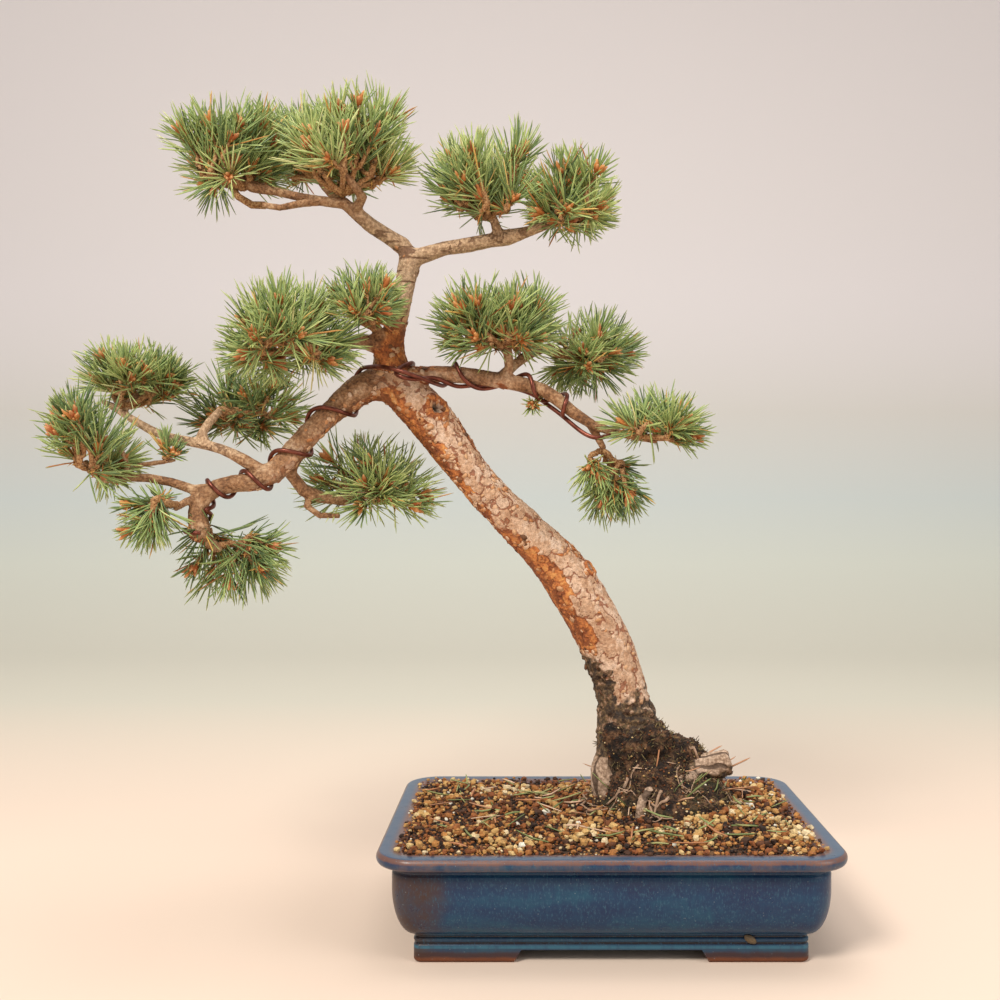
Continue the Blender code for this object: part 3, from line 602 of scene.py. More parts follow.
chance = random.Random(PEBBLE_SEED)
pebbles = [pebble(seed, seed > 3) for seed in range(8)]
lower_layer, upper_layer = [], []
for layer, spacing, sizes, lift in (
    (lower_layer, 3.1 * MM, (0.8 * MM, 2.0 * MM), -0.5 * MM),
    (upper_layer, 4.9 * MM, (1.3 * MM, 3.7 * MM), 1.0 * MM),
):
    columns = int(2 * POT_HALF[0] / spacing)
    rows = int(2 * POT_HALF[1] / spacing)
    for column in range(columns):
        for row in range(rows):
            x = pot_low.x + (column + chance.uniform(0.05, 0.95)) * spacing
            y = pot_low.y + (row + chance.uniform(0.05, 0.95)) * spacing
            heap = noise.noise(Vector((x * 45, y * 45, 9.0)))
            if not in_pot(x, y, SOIL_REACH + chance.uniform(0, 2.5) * MM):
                continue
            if layer is upper_layer and heap + chance.uniform(-0.5, 0.5) < -0.18:
                continue
            size = sizes[0] + (sizes[1] - sizes[0]) * chance.random() ** 1.7
            on_rim = not in_pot(x, y, RIM_WIDTH)
            if on_rim:
                size *= 0.8
            z = max(soil_height(x, y), RIM_TOP - 0.4 * MM if on_rim else 0.0)
            point = (x, y, z + lift + chance.uniform(-0.5, 0.6) * MM)
            kind = chance.randrange(4) + (4 if layer is upper_layer else 0)
            patch = noise.noise(Vector((x * 26, y * 26, 1.0))) * 0.5
            # The lower layer's granules are shifted darker: painted shade under the loose granules on top.
            dark = 0.0 if layer is upper_layer else 0.22
            tone = min(max(chance.gauss(0.5 + patch - dark, 0.22), 0.0), 0.93)
            if chance.random() < 0.012:
                tone = 1.0
            layer.append((tumbled(chance, point, size), tone, kind))
grit = Finish("soil_granules", 0.9)
grit_mark = grit.node("UVMap", {"uv_map": "OFBake"}, {})
grit_tone = grit.node("SeparateXYZ", {}, {"Vector": grit_mark}, "Y")
grit_colour = grit.node(
    "ValToRGB",
    {
        "stops": [
            (0.0, (0.026, 0.012, 0.007)),
            (0.16, (0.08, 0.03, 0.011)),
            (0.34, (0.27, 0.078, 0.018)),
            (0.52, (0.46, 0.2, 0.05)),
            (0.7, (0.6, 0.37, 0.13)),
            (0.86, (0.7, 0.5, 0.23)),
            (0.93, (0.76, 0.6, 0.36)),
            (1.0, (0.84, 0.78, 0.64)),
        ]
    },
    {0: grit_tone},
)
grit_speck = grit.noise(650, 4, 0.7)
grit_dirt = grit.noise(140, 3, 0.6)
grit_colour = grit.tinted(grit_colour, grit.band(grit_speck, 0.25, 0.75, 0.6, 1.25))
grit_colour = grit.mix(grit.band(grit_dirt, 0.56, 0.74, 0.0, 0.6), grit_colour, (0.06, 0.03, 0.015))
grit.wear("Base Color", grit_colour)
grit.wear("Roughness", grit.band(grit_speck, 0.3, 0.7, 0.75, 0.95))
grit.bump(grit_speck, 0.5, 0.0006)
for name, layer in (("soil_granules", lower_layer), ("loose_granules", upper_layer)):
    layer_mesh = strewn(name, pebbles, layer)
    if layer is upper_layer:
        layer_mesh.set_sharp_from_angle(angle=math.radians(28))
    fitted(layer_mesh, name, grit)


# The muck: peat and clay pressed round the foot of the trunk, dark and crumbling, with moss, fine
# roots, fallen needles and pale grit in it.

def thickened(bm, voxel):
    """A bmesh made over in even faces of the voxel's size, as one skin."""
    lump = cutter_from(bm)
    even = lump.modifiers.new("even", "REMESH")
    even.mode = "VOXEL"
    even.voxel_size = voxel
    made = bmesh.new()
    mesh = shaped(lump)
    made.from_mesh(mesh)
    bpy.data.meshes.remove(mesh)
    return made


MUCK_LUMPS = (
    ((30, -6, 34), (25, 20, 17)),
    ((46, 2, 18), (22, 26, 16)),
    ((12, -24, 18), (34, 22, 21)),
    ((-6, -24, 40), (16, 10, 17)),
    ((12, -22, 50), (15, 10, 13)),
    ((-16, -18, 52), (10, 10, 12)),
)
muck_source = merged_copy("root_muck")
for middle, half in MUCK_LUMPS:
    ball = bmesh.ops.create_uvsphere(muck_source, u_segments=24, v_segments=12, radius=1.0)["verts"]
    bmesh.ops.scale(muck_source, vec=Vector(half) * MM, verts=ball)
    bmesh.ops.translate(muck_source, vec=tree_foot + Vector(middle) * MM, verts=ball)
muck_bm = thickened(muck_source, 1.3 * MM)
bmesh.ops.smooth_vert(muck_bm, verts=muck_bm.verts, factor=0.5, use_axis_x=True, use_axis_y=True, use_axis_z=True)
muck_bm.normal_update()
for vert in muck_bm.verts:
    here = vert.co
    lump = noise.fractal(here * 95, 0.9, 2.2, 3) * 2.4 * MM
    crumb = noise.noise(here * 330) * 1.3 * MM + noise.noise(here * 620) * 0.7 * MM
    vert.co = here + vert.normal * (lump + crumb - 0.6 * MM)
muck_surface = BVHTree.FromBMesh(muck_bm)
muck = Finish("mossy_muck", 0.95)
muck_lump = muck.noise(160, 5, 0.7)
muck_fleck = muck.cells(620)
muck_green = muck.band(muck.noise(45, 3, 0.6), 0.5, 0.68)
muck_colour = muck.node(
    "ValToRGB",
    {"stops": [(0.38, (0.005, 0.003, 0.002)), (0.5, (0.034, 0.016, 0.008)), (0.62, (0.17, 0.085, 0.04))]},
    {0: muck_lump},
)
muck_colour = muck.mix(muck_green * 0.4, muck_colour, (0.04, 0.042, 0.012))
fleck_mask = muck.band(muck_fleck, 0.2, 0.1) * muck.band(muck.noise(230, 2, 0.5), 0.52, 0.62)
muck_colour = muck.mix(fleck_mask * 0.8, muck_colour, (0.3, 0.24, 0.17))
muck.wear("Base Color", muck_colour)
muck.bump(muck_lump * 2.0 + muck_fleck * 0.4, 0.8, 0.0012)
muck_mesh = mesh_from(muck_bm, "root_muck", 180)
muck_points = [vert.co.copy() for vert in muck_mesh.vertices]
muck_normals = [vert.normal.copy() for vert in muck_mesh.vertices]
fitted(muck_mesh, "mossy_muck", muck, ["root_muck"])

chance = random.Random(23)
crumbs = []
for _ in range(4200):
    index = chance.randrange(len(muck_points))
    point, normal = muck_points[index], muck_normals[index]
    if normal.z < -0.2 or point.z < RIM_TOP - 3 * MM:
        continue
    size = chance.uniform(0.35, 1.1) * MM
    low = point.z < tree_foot.z + 12 * MM
    tone = chance.random() ** 1.6 if low else 0.34 * chance.random() ** 1.5
    if chance.random() < 0.09:
        tone = chance.uniform(0.6, 1.0)
    if low and chance.random() < 0.22:
        size *= 2.0
    crumbs.append((tumbled(chance, point + normal * size * 0.35, size, 0.8), tone, chance.randrange(4)))
fitted(strewn("muck_crumbs", pebbles[:4], crumbs), "muck_crumbs", grit)


# The wood: roots, trunk and limbs grew as one. Old bark on the trunk breaks into thin pinkish-grey
# plates over orange under-bark, young limbs keep a brown scaly skin, and two old cuts have healed
# into rimmed hollows.

WOOD_VOXEL = 1.15 * MM
HOLLOWS = (
    ((-146, -37, 301), 8.0, 7.5),
    ((-33, -14, 180), 5.0, 3.4),
)


def on_tree(point):
    """A point given in millimetres from the root collar, in the object's frame."""
    return tree_foot + Vector(point) * MM


def step(value, low, high):
    share = min(max((value - low) / (high - low), 0.0), 1.0)
    return share * share * (3 - 2 * share)


def root_ridge(local):
    """How strongly the bark folds level round the trunk just over the muck."""
    return step(local.z, 56, 64) * (1 - step(local.z, 74, 88)) * step(local.x, -16, -4)


class Skin:
    """The points of an even mesh with averages over each point's neighbours."""

    def __init__(self, bm):
        self.bm = bm
        self.ends = np.array([[vert.index for vert in edge.verts] for edge in bm.edges])
        self.count = len(bm.verts)
        self.degree = np.bincount(self.ends.ravel(), minlength=self.count).astype(float)

    def averaged(self, values, times):
        values = values.copy()
        for _ in range(times):
            total = np.zeros(self.count)
            total += np.bincount(self.ends[:, 0], values[self.ends[:, 1]], self.count)
            total += np.bincount(self.ends[:, 1], values[self.ends[:, 0]], self.count)
            values = total / self.degree
        return values

    def smoothed(self, points, share):
        columns = [self.averaged(points[:, axis], 1) for axis in range(3)]
        return points + (np.stack(columns, axis=1) - points) * share[:, None]


wood_source = merged_copy("trunk_and_limbs")
for vert in wood_source.verts:
    vert.co += vert.normal * 0.15 * MM
wood_bm = thickened(wood_source, WOOD_VOXEL)
wood_bm.verts.ensure_lookup_table()
wood_bm.verts.index_update()
wood_bm.normal_update()
within = BVHTree.FromBMesh(wood_bm)
skin = Skin(wood_bm)
girth = np.empty(skin.count)
for vert in wood_bm.verts:
    start = vert.co - vert.normal * 0.4 * MM
    hit = within.ray_cast(start, -vert.normal, 0.08)
    girth[vert.index] = hit[3] if hit[0] else 0.01
girth = skin.averaged(girth, 10)
stout = np.clip((girth - 9 * MM) / (16 * MM), 0, 1)
points = np.array([vert.co[:] for vert in wood_bm.verts])
for turn in range(22):
    share = np.full(skin.count, 0.5 if turn < 3 else 0.0) + stout * 0.5 * (turn >= 3)
    points = skin.smoothed(points, share)
for vert in wood_bm.verts:
    vert.co = points[vert.index]
wood_bm.normal_update()

marks = {name: np.zeros(skin.count) for name in ("crack", "plate", "peel", "dark", "hollow", "root", "pale", "brown")}
moves = np.zeros(skin.count)
for vert in wood_bm.verts:
    index = vert.index
    local = (vert.co - tree_foot) / MM
    normal = vert.normal
    age = stout[index]
    warp = noise.noise_vector(local * 0.07) * 7 + noise.noise_vector(local * 0.22 + Vector((5, 5, 5))) * 2.6
    lean = Vector((local.x + local.z * 0.62, local.y, local.z - local.x * 0.62)) + warp
    distances, cells = noise.voronoi(Vector((lean.x, lean.y * 1.1, lean.z * 0.6)) / 8.5)
    broken = step(noise.noise(local * 0.1 + Vector((2, 8, 1))), -0.3, 0.1)
    crack = (1 - step(distances[1] - distances[0], 0.03, 0.17)) * broken
    plate = noise.cell(cells[0] * 7.3 + Vector((3, 5, 7)))
    fine_distances, fine_cells = noise.voronoi(Vector((lean.x, lean.y, lean.z * 0.7)) / 3.1)
    fine_edge = 1 - step(fine_distances[1] - fine_distances[0], 0.02, 0.28)
    flaky = noise.cell(fine_cells[0] * 5.1)
    wide = noise.fractal(local * 0.026 + Vector((9, 2, 4)), 1.0, 2.0, 4)
    facing_left = -normal.x * 0.82 - normal.z * 0.5 - normal.y * 0.12
    low_peel = step(local.z, 108, 124) * (1 - step(local.z, 185, 225))
    high_peel = step(local.z, 150, 190) * (1 - step(local.z, 268, 312))
    reach = facing_left + wide * 0.55 + (plate - 0.5) * 0.25
    peel = max(step(reach, 0.0, 0.12) * low_peel, step(reach, 0.42, 0.56) * high_peel)
    right_strip = step(normal.x * 0.85 + normal.z * 0.4 + wide * 0.3, 0.86, 0.98) * high_peel
    under_limb = step(-normal.z + wide * 0.5, 0.25, 0.5) * step(local.z, 200, 230) * age
    leader_base = step(local.z, 322, 330) * (1 - step(local.z, 350, 378)) * step(local.x, -200, -190)
    peel = min(1.0, max(peel, 0.8 * right_strip, 0.85 * under_limb, leader_base))
    band = step(local.z, 62, 70) * (1 - step(local.z, 112 + 14 * wide, 118 + 14 * wide))
    ragged = wide * 0.7 + noise.fractal(local * 0.13, 0.8, 2.0, 3) * 0.55
    band *= step(-normal.x * 0.95 - normal.y * 0.25 + ragged, -0.2, 0.25)
    grey = 0.66 * step(ragged + (104 - local.z) * 0.018, -0.15, 0.4) * (1 - step(local.z, 104, 122))
    foot = 1 - step(local.z, 54 + 9 * ragged, 62 + 9 * ragged)
    right_root = step(local.x, 38, 46) * step(normal.z * 1.0 - normal.x * 0.4 + wide * 0.5, -0.5, 0.0)
    left_root = step(-local.x, 8, 13) * (1 - step(local.z, 36, 41))
    front_root = step(-local.y, 26, 32) * (1 - step(local.z, 30, 36))
    root = max(right_root * (1 - step(local.z, 52, 60)), left_root, front_root)
    marks["crack"][index] = crack
    marks["plate"][index] = plate * 0.6 + flaky * 0.4
    marks["peel"][index] = peel * (1 - root)
    marks["dark"][index] = min(1.0, max(band * 0.85, grey) * (1 - root) + foot * (1 - root))
    marks["root"][index] = root
    if local.z > 372 and -200 < local.x < -140 and local.z < 455:
        ring = noise.noise(Vector((local.x * 0.05, local.y * 0.05, local.z * 0.42)))
        marks["crack"][index] = step(ring, 0.22, 0.34)
    pale = step(local.z, 352, 372) * (1 - step(local.z, 430, 450)) * step(local.x, -215, -195)
    pale = max(pale, step(-local.x, 283, 290) * step(local.z, 258, 266) * (1 - step(local.z, 300, 312)))
    marks["pale"][index] = pale
    marks["brown"][index] = step(-local.x, 172, 205) * (1 - step(local.z, 322, 334)) * (1 - pale)
    lift = 0.35 * (1 - peel) - 0.45 * crack + (flaky - 0.5) * 0.24 - fine_edge * 0.12
    rough = noise.noise(local * 1.1) * 0.22 + noise.noise(local * 0.4) * 0.3
    scale = (0.1 + 0.95 * age) * (1 - 0.85 * root)
    ripple = noise.noise(local * 0.05) * 1.2 * age
    move = (lift + rough * 0.8) * scale + ripple
    move += max(band, foot * (1 - root)) * (noise.noise(local * 0.26) * 1.6 + noise.noise(local * 0.7) * 0.7)
    around = math.atan2(local.y + 12, local.z - 26)
    if left_root > 0:
        around = math.atan2(local.y + 14, local.x + 20) * 0.7
    wrinkle = math.sin(around * 8 + noise.noise(local * 0.07) * 2.6 + local.x * 0.04)
    move += root * (wrinkle * 0.5 - 0.5 * step(-wrinkle, 0.75, 0.95) + rough * 1.6)
    move += left_root * math.sin(math.pi * min(max(local.z / 42, 0.0), 1.0)) * 2.0
    if root > 0.5:
        marks["crack"][index] = step(-wrinkle, 0.55, 0.9)
    if root_ridge(local) > 0:
        fold = math.sin(local.z * 0.72 + noise.noise(local * 0.07) * 4.5)
        move += root_ridge(local) * fold * 1.3
        # The troughs of these folds are darkened through the dark mark: painted shade in the creases.
        marks["dark"][index] = max(marks["dark"][index], root_ridge(local) * step(-fold, 0.2, 0.8) * 0.9)
    for centre, radius, depth in HOLLOWS:
        away = (local - Vector(centre)).length + noise.noise(local * 0.3) * 1.2
        if away < radius * 2.4:
            pit = 1 - step(away, radius * 0.4, radius)
            rim = step(away, radius * 0.7, radius * 1.15) * (1 - step(away, radius * 1.2, radius * 1.9))
            move += rim * 2.3 - pit * depth
            marks["hollow"][index] = max(marks["hollow"][index], pit)
            marks["peel"][index] = max(marks["peel"][index], rim)
    moves[index] = move * MM
moves = moves * 0.75 + skin.averaged(moves, 1) * 0.25
for vert in wood_bm.verts:
    vert.co = vert.co + vert.normal * moves[vert.index]
wood_mesh = mesh_from(wood_bm, "wood", 180)
wood_points = [vert.co.copy() for vert in wood_mesh.vertices]
wood_normals = [vert.normal.copy() for vert in wood_mesh.vertices]
wood_surface = BVHTree.FromPolygons(wood_points, [tuple(face.vertices) for face in wood_mesh.polygons])
marks["stout"] = stout
for name, values in marks.items():
    layer = wood_mesh.attributes.new(name, "FLOAT", "POINT")
    layer.data.foreach_set("value", values.astype(np.float32))


pine_bark = Finish("pine_bark", 0.85)
crack, plate, peel, dark, hollow, root, pale, brown, age = (
    pine_bark.value_of(mark)
    for mark in ("crack", "plate", "peel", "dark", "hollow", "root", "pale", "brown", "stout")
)
grain = pine_bark.noise(420, 5, 0.65)
blotch = pine_bark.noise(70, 4, 0.6)
scales = pine_bark.cells(520)
moss_patch = pine_bark.noise(150, 5, 0.7)
pores = pine_bark.noise(900, 3, 0.6)
old = pine_bark.node(
    "ValToRGB",
    {
        "stops": [
            (0.0, (0.4, 0.2, 0.1)),
            (0.3, (0.6, 0.38, 0.24)),
            (0.6, (0.74, 0.54, 0.4)),
            (1.0, (0.86, 0.69, 0.56)),
        ]
    },
    {0: plate * 0.3 + blotch * 0.5 + grain * 0.4 - 0.1},
)
orange = pine_bark.node(
    "ValToRGB",
    {
        "stops": [
            (0.28, (0.24, 0.07, 0.02)),
            (0.45, (0.52, 0.17, 0.045)),
            (0.6, (0.66, 0.3, 0.09)),
            (0.75, (0.72, 0.45, 0.22)),
        ]
    },
    {0: blotch * 0.45 + grain * 0.3 + plate * 0.25},
)
old = pine_bark.mix(pine_bark.band(pores, 0.55, 0.66, 0.0, 0.75), old, (0.33, 0.18, 0.11))
old = pine_bark.mix(pine_bark.band(peel + grain * 0.5 - plate * 0.25, 0.5, 0.75), old, orange)
crack_line = pine_bark.band(crack + grain * 0.4, 0.62, 0.95)
peel_rim = pine_bark.band(peel + grain * 0.3, 0.4, 0.6) * pine_bark.band(peel + grain * 0.3, 0.95, 0.75)
old = pine_bark.mix(crack_line * 0.8 + peel_rim * 0.55, old, (0.25, 0.07, 0.024))
young = pine_bark.node(
    "ValToRGB",
    {
        "stops": [
            (0.36, (0.09, 0.036, 0.015)),
            (0.46, (0.22, 0.1, 0.04)),
            (0.55, (0.35, 0.185, 0.088)),
            (0.68, (0.54, 0.36, 0.21)),
        ]
    },
    {0: blotch * 0.62 + grain * 0.34 + scales * 0.1},
)
skin_colour = pine_bark.mix(pine_bark.band(age + blotch * 0.2, 0.14, 0.5), young, old)
skin_colour = pine_bark.mix(brown * pine_bark.band(blotch + peel * 0.7, 0.95, 0.45, 0.3, 1.0), skin_colour, young)
smooth_skin = pine_bark.mix(pine_bark.band(grain, 0.35, 0.65), (0.4, 0.24, 0.13), (0.66, 0.46, 0.29))
smooth_skin = pine_bark.mix(crack_line * 0.75, smooth_skin, (0.13, 0.06, 0.028))
skin_colour = pine_bark.mix(pale * 0.8, skin_colour, smooth_skin)
pale_root = pine_bark.mix(pine_bark.band(grain + blotch * 0.5, 0.5, 1.0), (0.26, 0.155, 0.09), (0.6, 0.43, 0.31))
pale_root = pine_bark.mix(crack_line * 0.85, pale_root, (0.075, 0.04, 0.022))
skin_colour = pine_bark.mix(root, skin_colour, pale_root)
# The colour of the dark mark: dark, mossy bark low on the trunk, and the painted shade in the troughs of the folds
# over the muck.
dark_bark_and_fold_shade = pine_bark.node(
    "ValToRGB",
    {
        "stops": [
            (0.42, (0.008, 0.005, 0.003)),
            (0.48, (0.055, 0.027, 0.012)),
            (0.52, (0.11, 0.075, 0.03)),
            (0.56, (0.2, 0.1, 0.05)),
            (0.62, (0.42, 0.28, 0.19)),
        ]
    },
    {0: grain * 0.35 + moss_patch * 0.65},
)
skin_colour = pine_bark.mix(pine_bark.band(dark + grain * 0.4, 0.35, 0.75, 0.0, 0.95), skin_colour, dark_bark_and_fold_shade)
# The pits of the two hollows are painted near black: painted shade in the hollows.
skin_colour = pine_bark.mix(pine_bark.band(hollow + grain * 0.3, 0.2, 0.8), skin_colour, (0.014, 0.013, 0.006))
pine_bark.wear("Base Color", pine_bark.tinted(skin_colour, pine_bark.band(grain, 0.25, 0.75, 0.75, 1.2)))
pine_bark.wear("Roughness", pine_bark.band(grain, 0.3, 0.7, 0.72, 0.92))
pine_bark.bump(grain * 1.1 + scales * 0.6 - crack_line * 0.8 + blotch * 0.4, 0.8, 0.001)
fitted(wood_mesh, "trunk_roots_and_limbs", pine_bark, ["trunk_and_limbs"])


# Thin flakes of bark lift and curl at the edges of the plates on the trunk and stout limbs.

def curled_flake(seed):
    """A ragged plate of bark about 2 across, 0.12 thick, and lifted along one edge."""
    chance = random.Random(seed)
    bm = bmesh.new()
    rim = bmesh.ops.create_circle(bm, cap_ends=True, segments=7, radius=1.0)["verts"]
    for vert in rim:
        vert.co *= chance.uniform(0.6, 1.15)
        vert.co.z = 0.16 * (vert.co.x + 1) ** 2
    bmesh.ops.solidify(bm, geom=bm.faces[:], thickness=0.14)
    return corners_of(bm)


chance = random.Random(37)
flakes = []
for _ in range(60000):
    index = chance.randrange(len(wood_points))
    edge_here = 0.15 < marks["peel"][index] < 0.85
    worth = 0.12 + 0.6 * marks["crack"][index] + 0.8 * edge_here
    if stout[index] * worth < chance.uniform(0.2, 1.3) or marks["root"][index] > 0.3:
        continue
    if marks["hollow"][index] > 0.1 or len(flakes) >= 1000:
        continue
    normal = wood_normals[index]
    side = Matrix.Rotation(chance.uniform(0, math.tau), 3, normal) @ normal.orthogonal().normalized()
    size = chance.uniform(1.2, 3.4) * MM
    turn = Matrix((side, normal.cross(side), normal)).transposed().to_4x4()
    place = Matrix.Translation(wood_points[index] + normal * 0.12 * MM) @ turn
    place = place @ Matrix.Diagonal((size, size * chance.uniform(0.5, 0.9), size * chance.uniform(0.1, 0.3), 1))
    tone = chance.uniform(0.3, 0.72)
    if marks["peel"][index] > 0.5:
        tone = chance.uniform(0.1, 0.75)
    if marks["dark"][index] > 0.4:
        tone = chance.uniform(0.0, 0.14)
    flakes.append((place, tone, chance.randrange(6)))
flake_finish = Finish("bark_flakes", 0.85)
flake_mark = flake_finish.node("UVMap", {"uv_map": "OFBake"}, {})
flake_tone = flake_finish.node("SeparateXYZ", {}, {"Vector": flake_mark}, "Y")
flake_colour = flake_finish.node(
    "ValToRGB",
    {
        "stops": [
            (0.0, (0.03, 0.016, 0.009)),
            (0.14, (0.16, 0.07, 0.03)),
            (0.3, (0.5, 0.19, 0.06)),
            (0.5, (0.62, 0.36, 0.19)),
            (0.75, (0.7, 0.5, 0.36)),
            (1.0, (0.84, 0.68, 0.56)),
        ]
    },
    {0: flake_tone},
)
flake_finish.wear("Base Color", flake_colour)
fitted(
    strewn("bark_flakes", [curled_flake(seed) for seed in range(6)], flakes),
    "bark_flakes",
    flake_finish,
)


# The training wires: soft aluminium, anodised red-brown. Each winds along a limb at a steady slant,
# and the two lie side by side where they cross the trunk.

anodised = Finish("anodised_wire", 0.3, 0.75)
wire_stain = anodised.noise(120, 4, 0.6)
wire_scratch = anodised.noise(900, 3, 0.7)
anodised.wear(
    "Base Color",
    anodised.mix(anodised.band(wire_stain, 0.3, 0.7), (0.11, 0.028, 0.017), (0.24, 0.075, 0.048)),
)
anodised.wear("Roughness", anodised.band(wire_stain + wire_scratch * 0.5, 0.4, 1.1, 0.26, 0.5))
anodised.bump(wire_scratch, 0.12, 0.0002)
for wire_name in ("training_wire", "second_training_wire"):
    wire_bm = merged_copy(wire_name)
    bmesh.ops.join_triangles(
        wire_bm, faces=wire_bm.faces, angle_face_threshold=0.6, angle_shape_threshold=0.9
    )
    wire_bm.normal_update()
    for vert in wire_bm.verts:
        vert.co += vert.normal * 0.42 * MM
    wire_piece = fitted(
        mesh_from(wire_bm, wire_name, 180), f"wound_{wire_name}", anodised, [wire_name]
    )
    round_off = wire_piece.modifiers.new("round", "SUBSURF")
    round_off.levels = 2
    round_off.render_levels = 2


# The foliage: each pad is a spray of short shoots that rise from the ends of its branch. A shoot is a
# scaly brown twig, ringed near its end by stiff needles in pairs, 30 to 45 mm long, and it ends in
# resinous orange-brown buds.

NEEDLE_RADIUS = 0.7 * MM


def needle_shape(bend):
    """A needle one long and, until it is placed, one in radius: three-sided, bowed and pointed."""
    bm = bmesh.new()
    bmesh.ops.create_cone(bm, cap_ends=True, segments=3, radius1=1.0, radius2=1.0, depth=1.0)
    bmesh.ops.translate(bm, vec=(0, 0, 0.5), verts=bm.verts)
    for height in (0.45, 0.88):
        bmesh.ops.bisect_plane(
            bm, geom=bm.verts[:] + bm.edges[:] + bm.faces[:], plane_co=(0, 0, height), plane_no=(0, 0, 1)
        )
    for vert in bm.verts:
        height = vert.co.z
        width = 0.7 if height < 0.01 else 1.0 if height < 0.8 else 0.85 if height < 0.95 else 0.15
        vert.co.x = vert.co.x * width + bend * height * height
        vert.co.y = vert.co.y * width
    return corners_of(bm)


def bud_shape():
    """A pointed, scaly bud one long, with rings of scales that stand a little open."""
    bm = bmesh.new()
    bmesh.ops.create_uvsphere(bm, u_segments=6, v_segments=6, radius=1.0)
    for index, vert in enumerate(bm.verts):
        height = (vert.co.z + 1) / 2
        width = math.sin(math.pi * min(height * 0.85 + 0.12, 1.0)) ** 0.8
        flat = Vector((vert.co.x, vert.co.y)).normalized() if abs(vert.co.z) < 0.99 else Vector((0, 0))
        wave = 1.15 if index % 2 else 0.8
        vert.co = (flat.x * width * wave, flat.y * width * wave, height)
    return corners_of(bm)


def aimed(point, direction, around, scale):
    """A matrix that stands a shape's Z along a direction, turned round it."""
    turn = direction.to_track_quat("Z", "Y").to_matrix().to_4x4() @ Matrix.Rotation(around, 4, "Z")
    return Matrix.Translation(point) @ turn @ Matrix.Diagonal((*scale, 1))


# Each pad: its middle and half sizes in millimetres from the root collar, the end of the branch that
# carries it, how many shoots it has, how far up (or down) they point, and how much its green is
# painted lighter or darker: painted light on the crown and upper pads, painted shade on the low ones.
PADS = {
    "crown_left_pad": ((-304, -30, 488), (46, 46, 42), (-292, -29, 462), 35, 0.75, 0.02),
    "crown_centre_pad": ((-212, -52, 490), (48, 52, 48), (-216, -50, 452), 43, 0.8, 0.08),
    "crown_back_pad": ((-258, 28, 512), (50, 36, 36), (-243, 8, 478), 32, 0.8, 0.0),
    "crown_right_pad": ((-111, -46, 464), (41, 48, 42), (-112, -44, 436), 32, 0.9, 0.05),
    "crown_right_outer_pad": ((-50, -50, 451), (32, 40, 32), (-62, -46, 434), 24, 0.7, 0.02),
    "leader_pad": ((-200, -64, 373), (29, 30, 28), (-194, -42, 356), 15, 0.55, 0.0),
    "middle_left_pad": ((-252, -74, 350), (51, 46, 40), (-236, -62, 336), 35, 0.5, 0.05),
    "upper_left_pad": ((-374, -24, 322), (43, 40, 29), (-384, -27, 299), 24, 0.7, 0.02),
    "second_left_pad": ((-302, 10, 305), (47, 38, 32), (-313, -22, 298), 18, 0.45, -0.1),
    "outer_left_pad": ((-386, -78, 274), (31, 42, 39), (-384, -76, 252), 18, 0.55, -0.06),
    "outer_left_tuft": ((-343, -58, 270), (17, 16, 14), (-340, -58, 258), 2, 0.6, -0.2),
    "lower_left_tuft": ((-338, -86, 218), (25, 28, 25), (-326, -74, 226), 8, -0.25, -0.04),
    "drooping_pad": ((-298, -50, 188), (40, 36, 36), (-308, -57, 196), 15, -0.35, -0.1),
    "under_pad": ((-200, -10, 247), (54, 40, 38), (-206, -18, 233), 22, 0.2, -0.02),
    "right_pad": ((-104, -48, 361), (48, 44, 33), (-100, -43, 343), 35, 0.7, 0.0),
    "right_back_pad": ((-38, 0, 346), (43, 40, 34), (-66, -12, 344), 22, 0.3, -0.03),
    "right_outer_pad": ((8, -64, 284), (37, 38, 29), (-8, -60, 277), 16, 0.2, -0.06),
    "hanging_pad": ((-24, -44, 241), (33, 34, 28), (-27, -48, 266), 13, -0.75, -0.08),
    "tiny_tuft": ((-76, -38, 297), (12, 13, 9), (-72, -42, 306), 1, -0.2, -0.1),
}
PAIRS_A_SHOOT = 19

needle_shapes = [needle_shape(bend) for bend in (1.5, 4.0, 7.5)]
pine_bud = bud_shape()
all_buds, twig_lines = [], []
room_low, room_high = (Vector(corner) for corner in cad_box)
margin = Vector([(high - low) * 0.025 + 8 * MM for low, high in zip(*cad_box)])
room_low = room_low - margin
room_high = room_high + margin


def in_room(point):
    return all(low < value < high for low, value, high in zip(room_low, point, room_high))


def scattered(chance, amount):
    return Vector([chance.uniform(-amount, amount) for _ in range(3)])


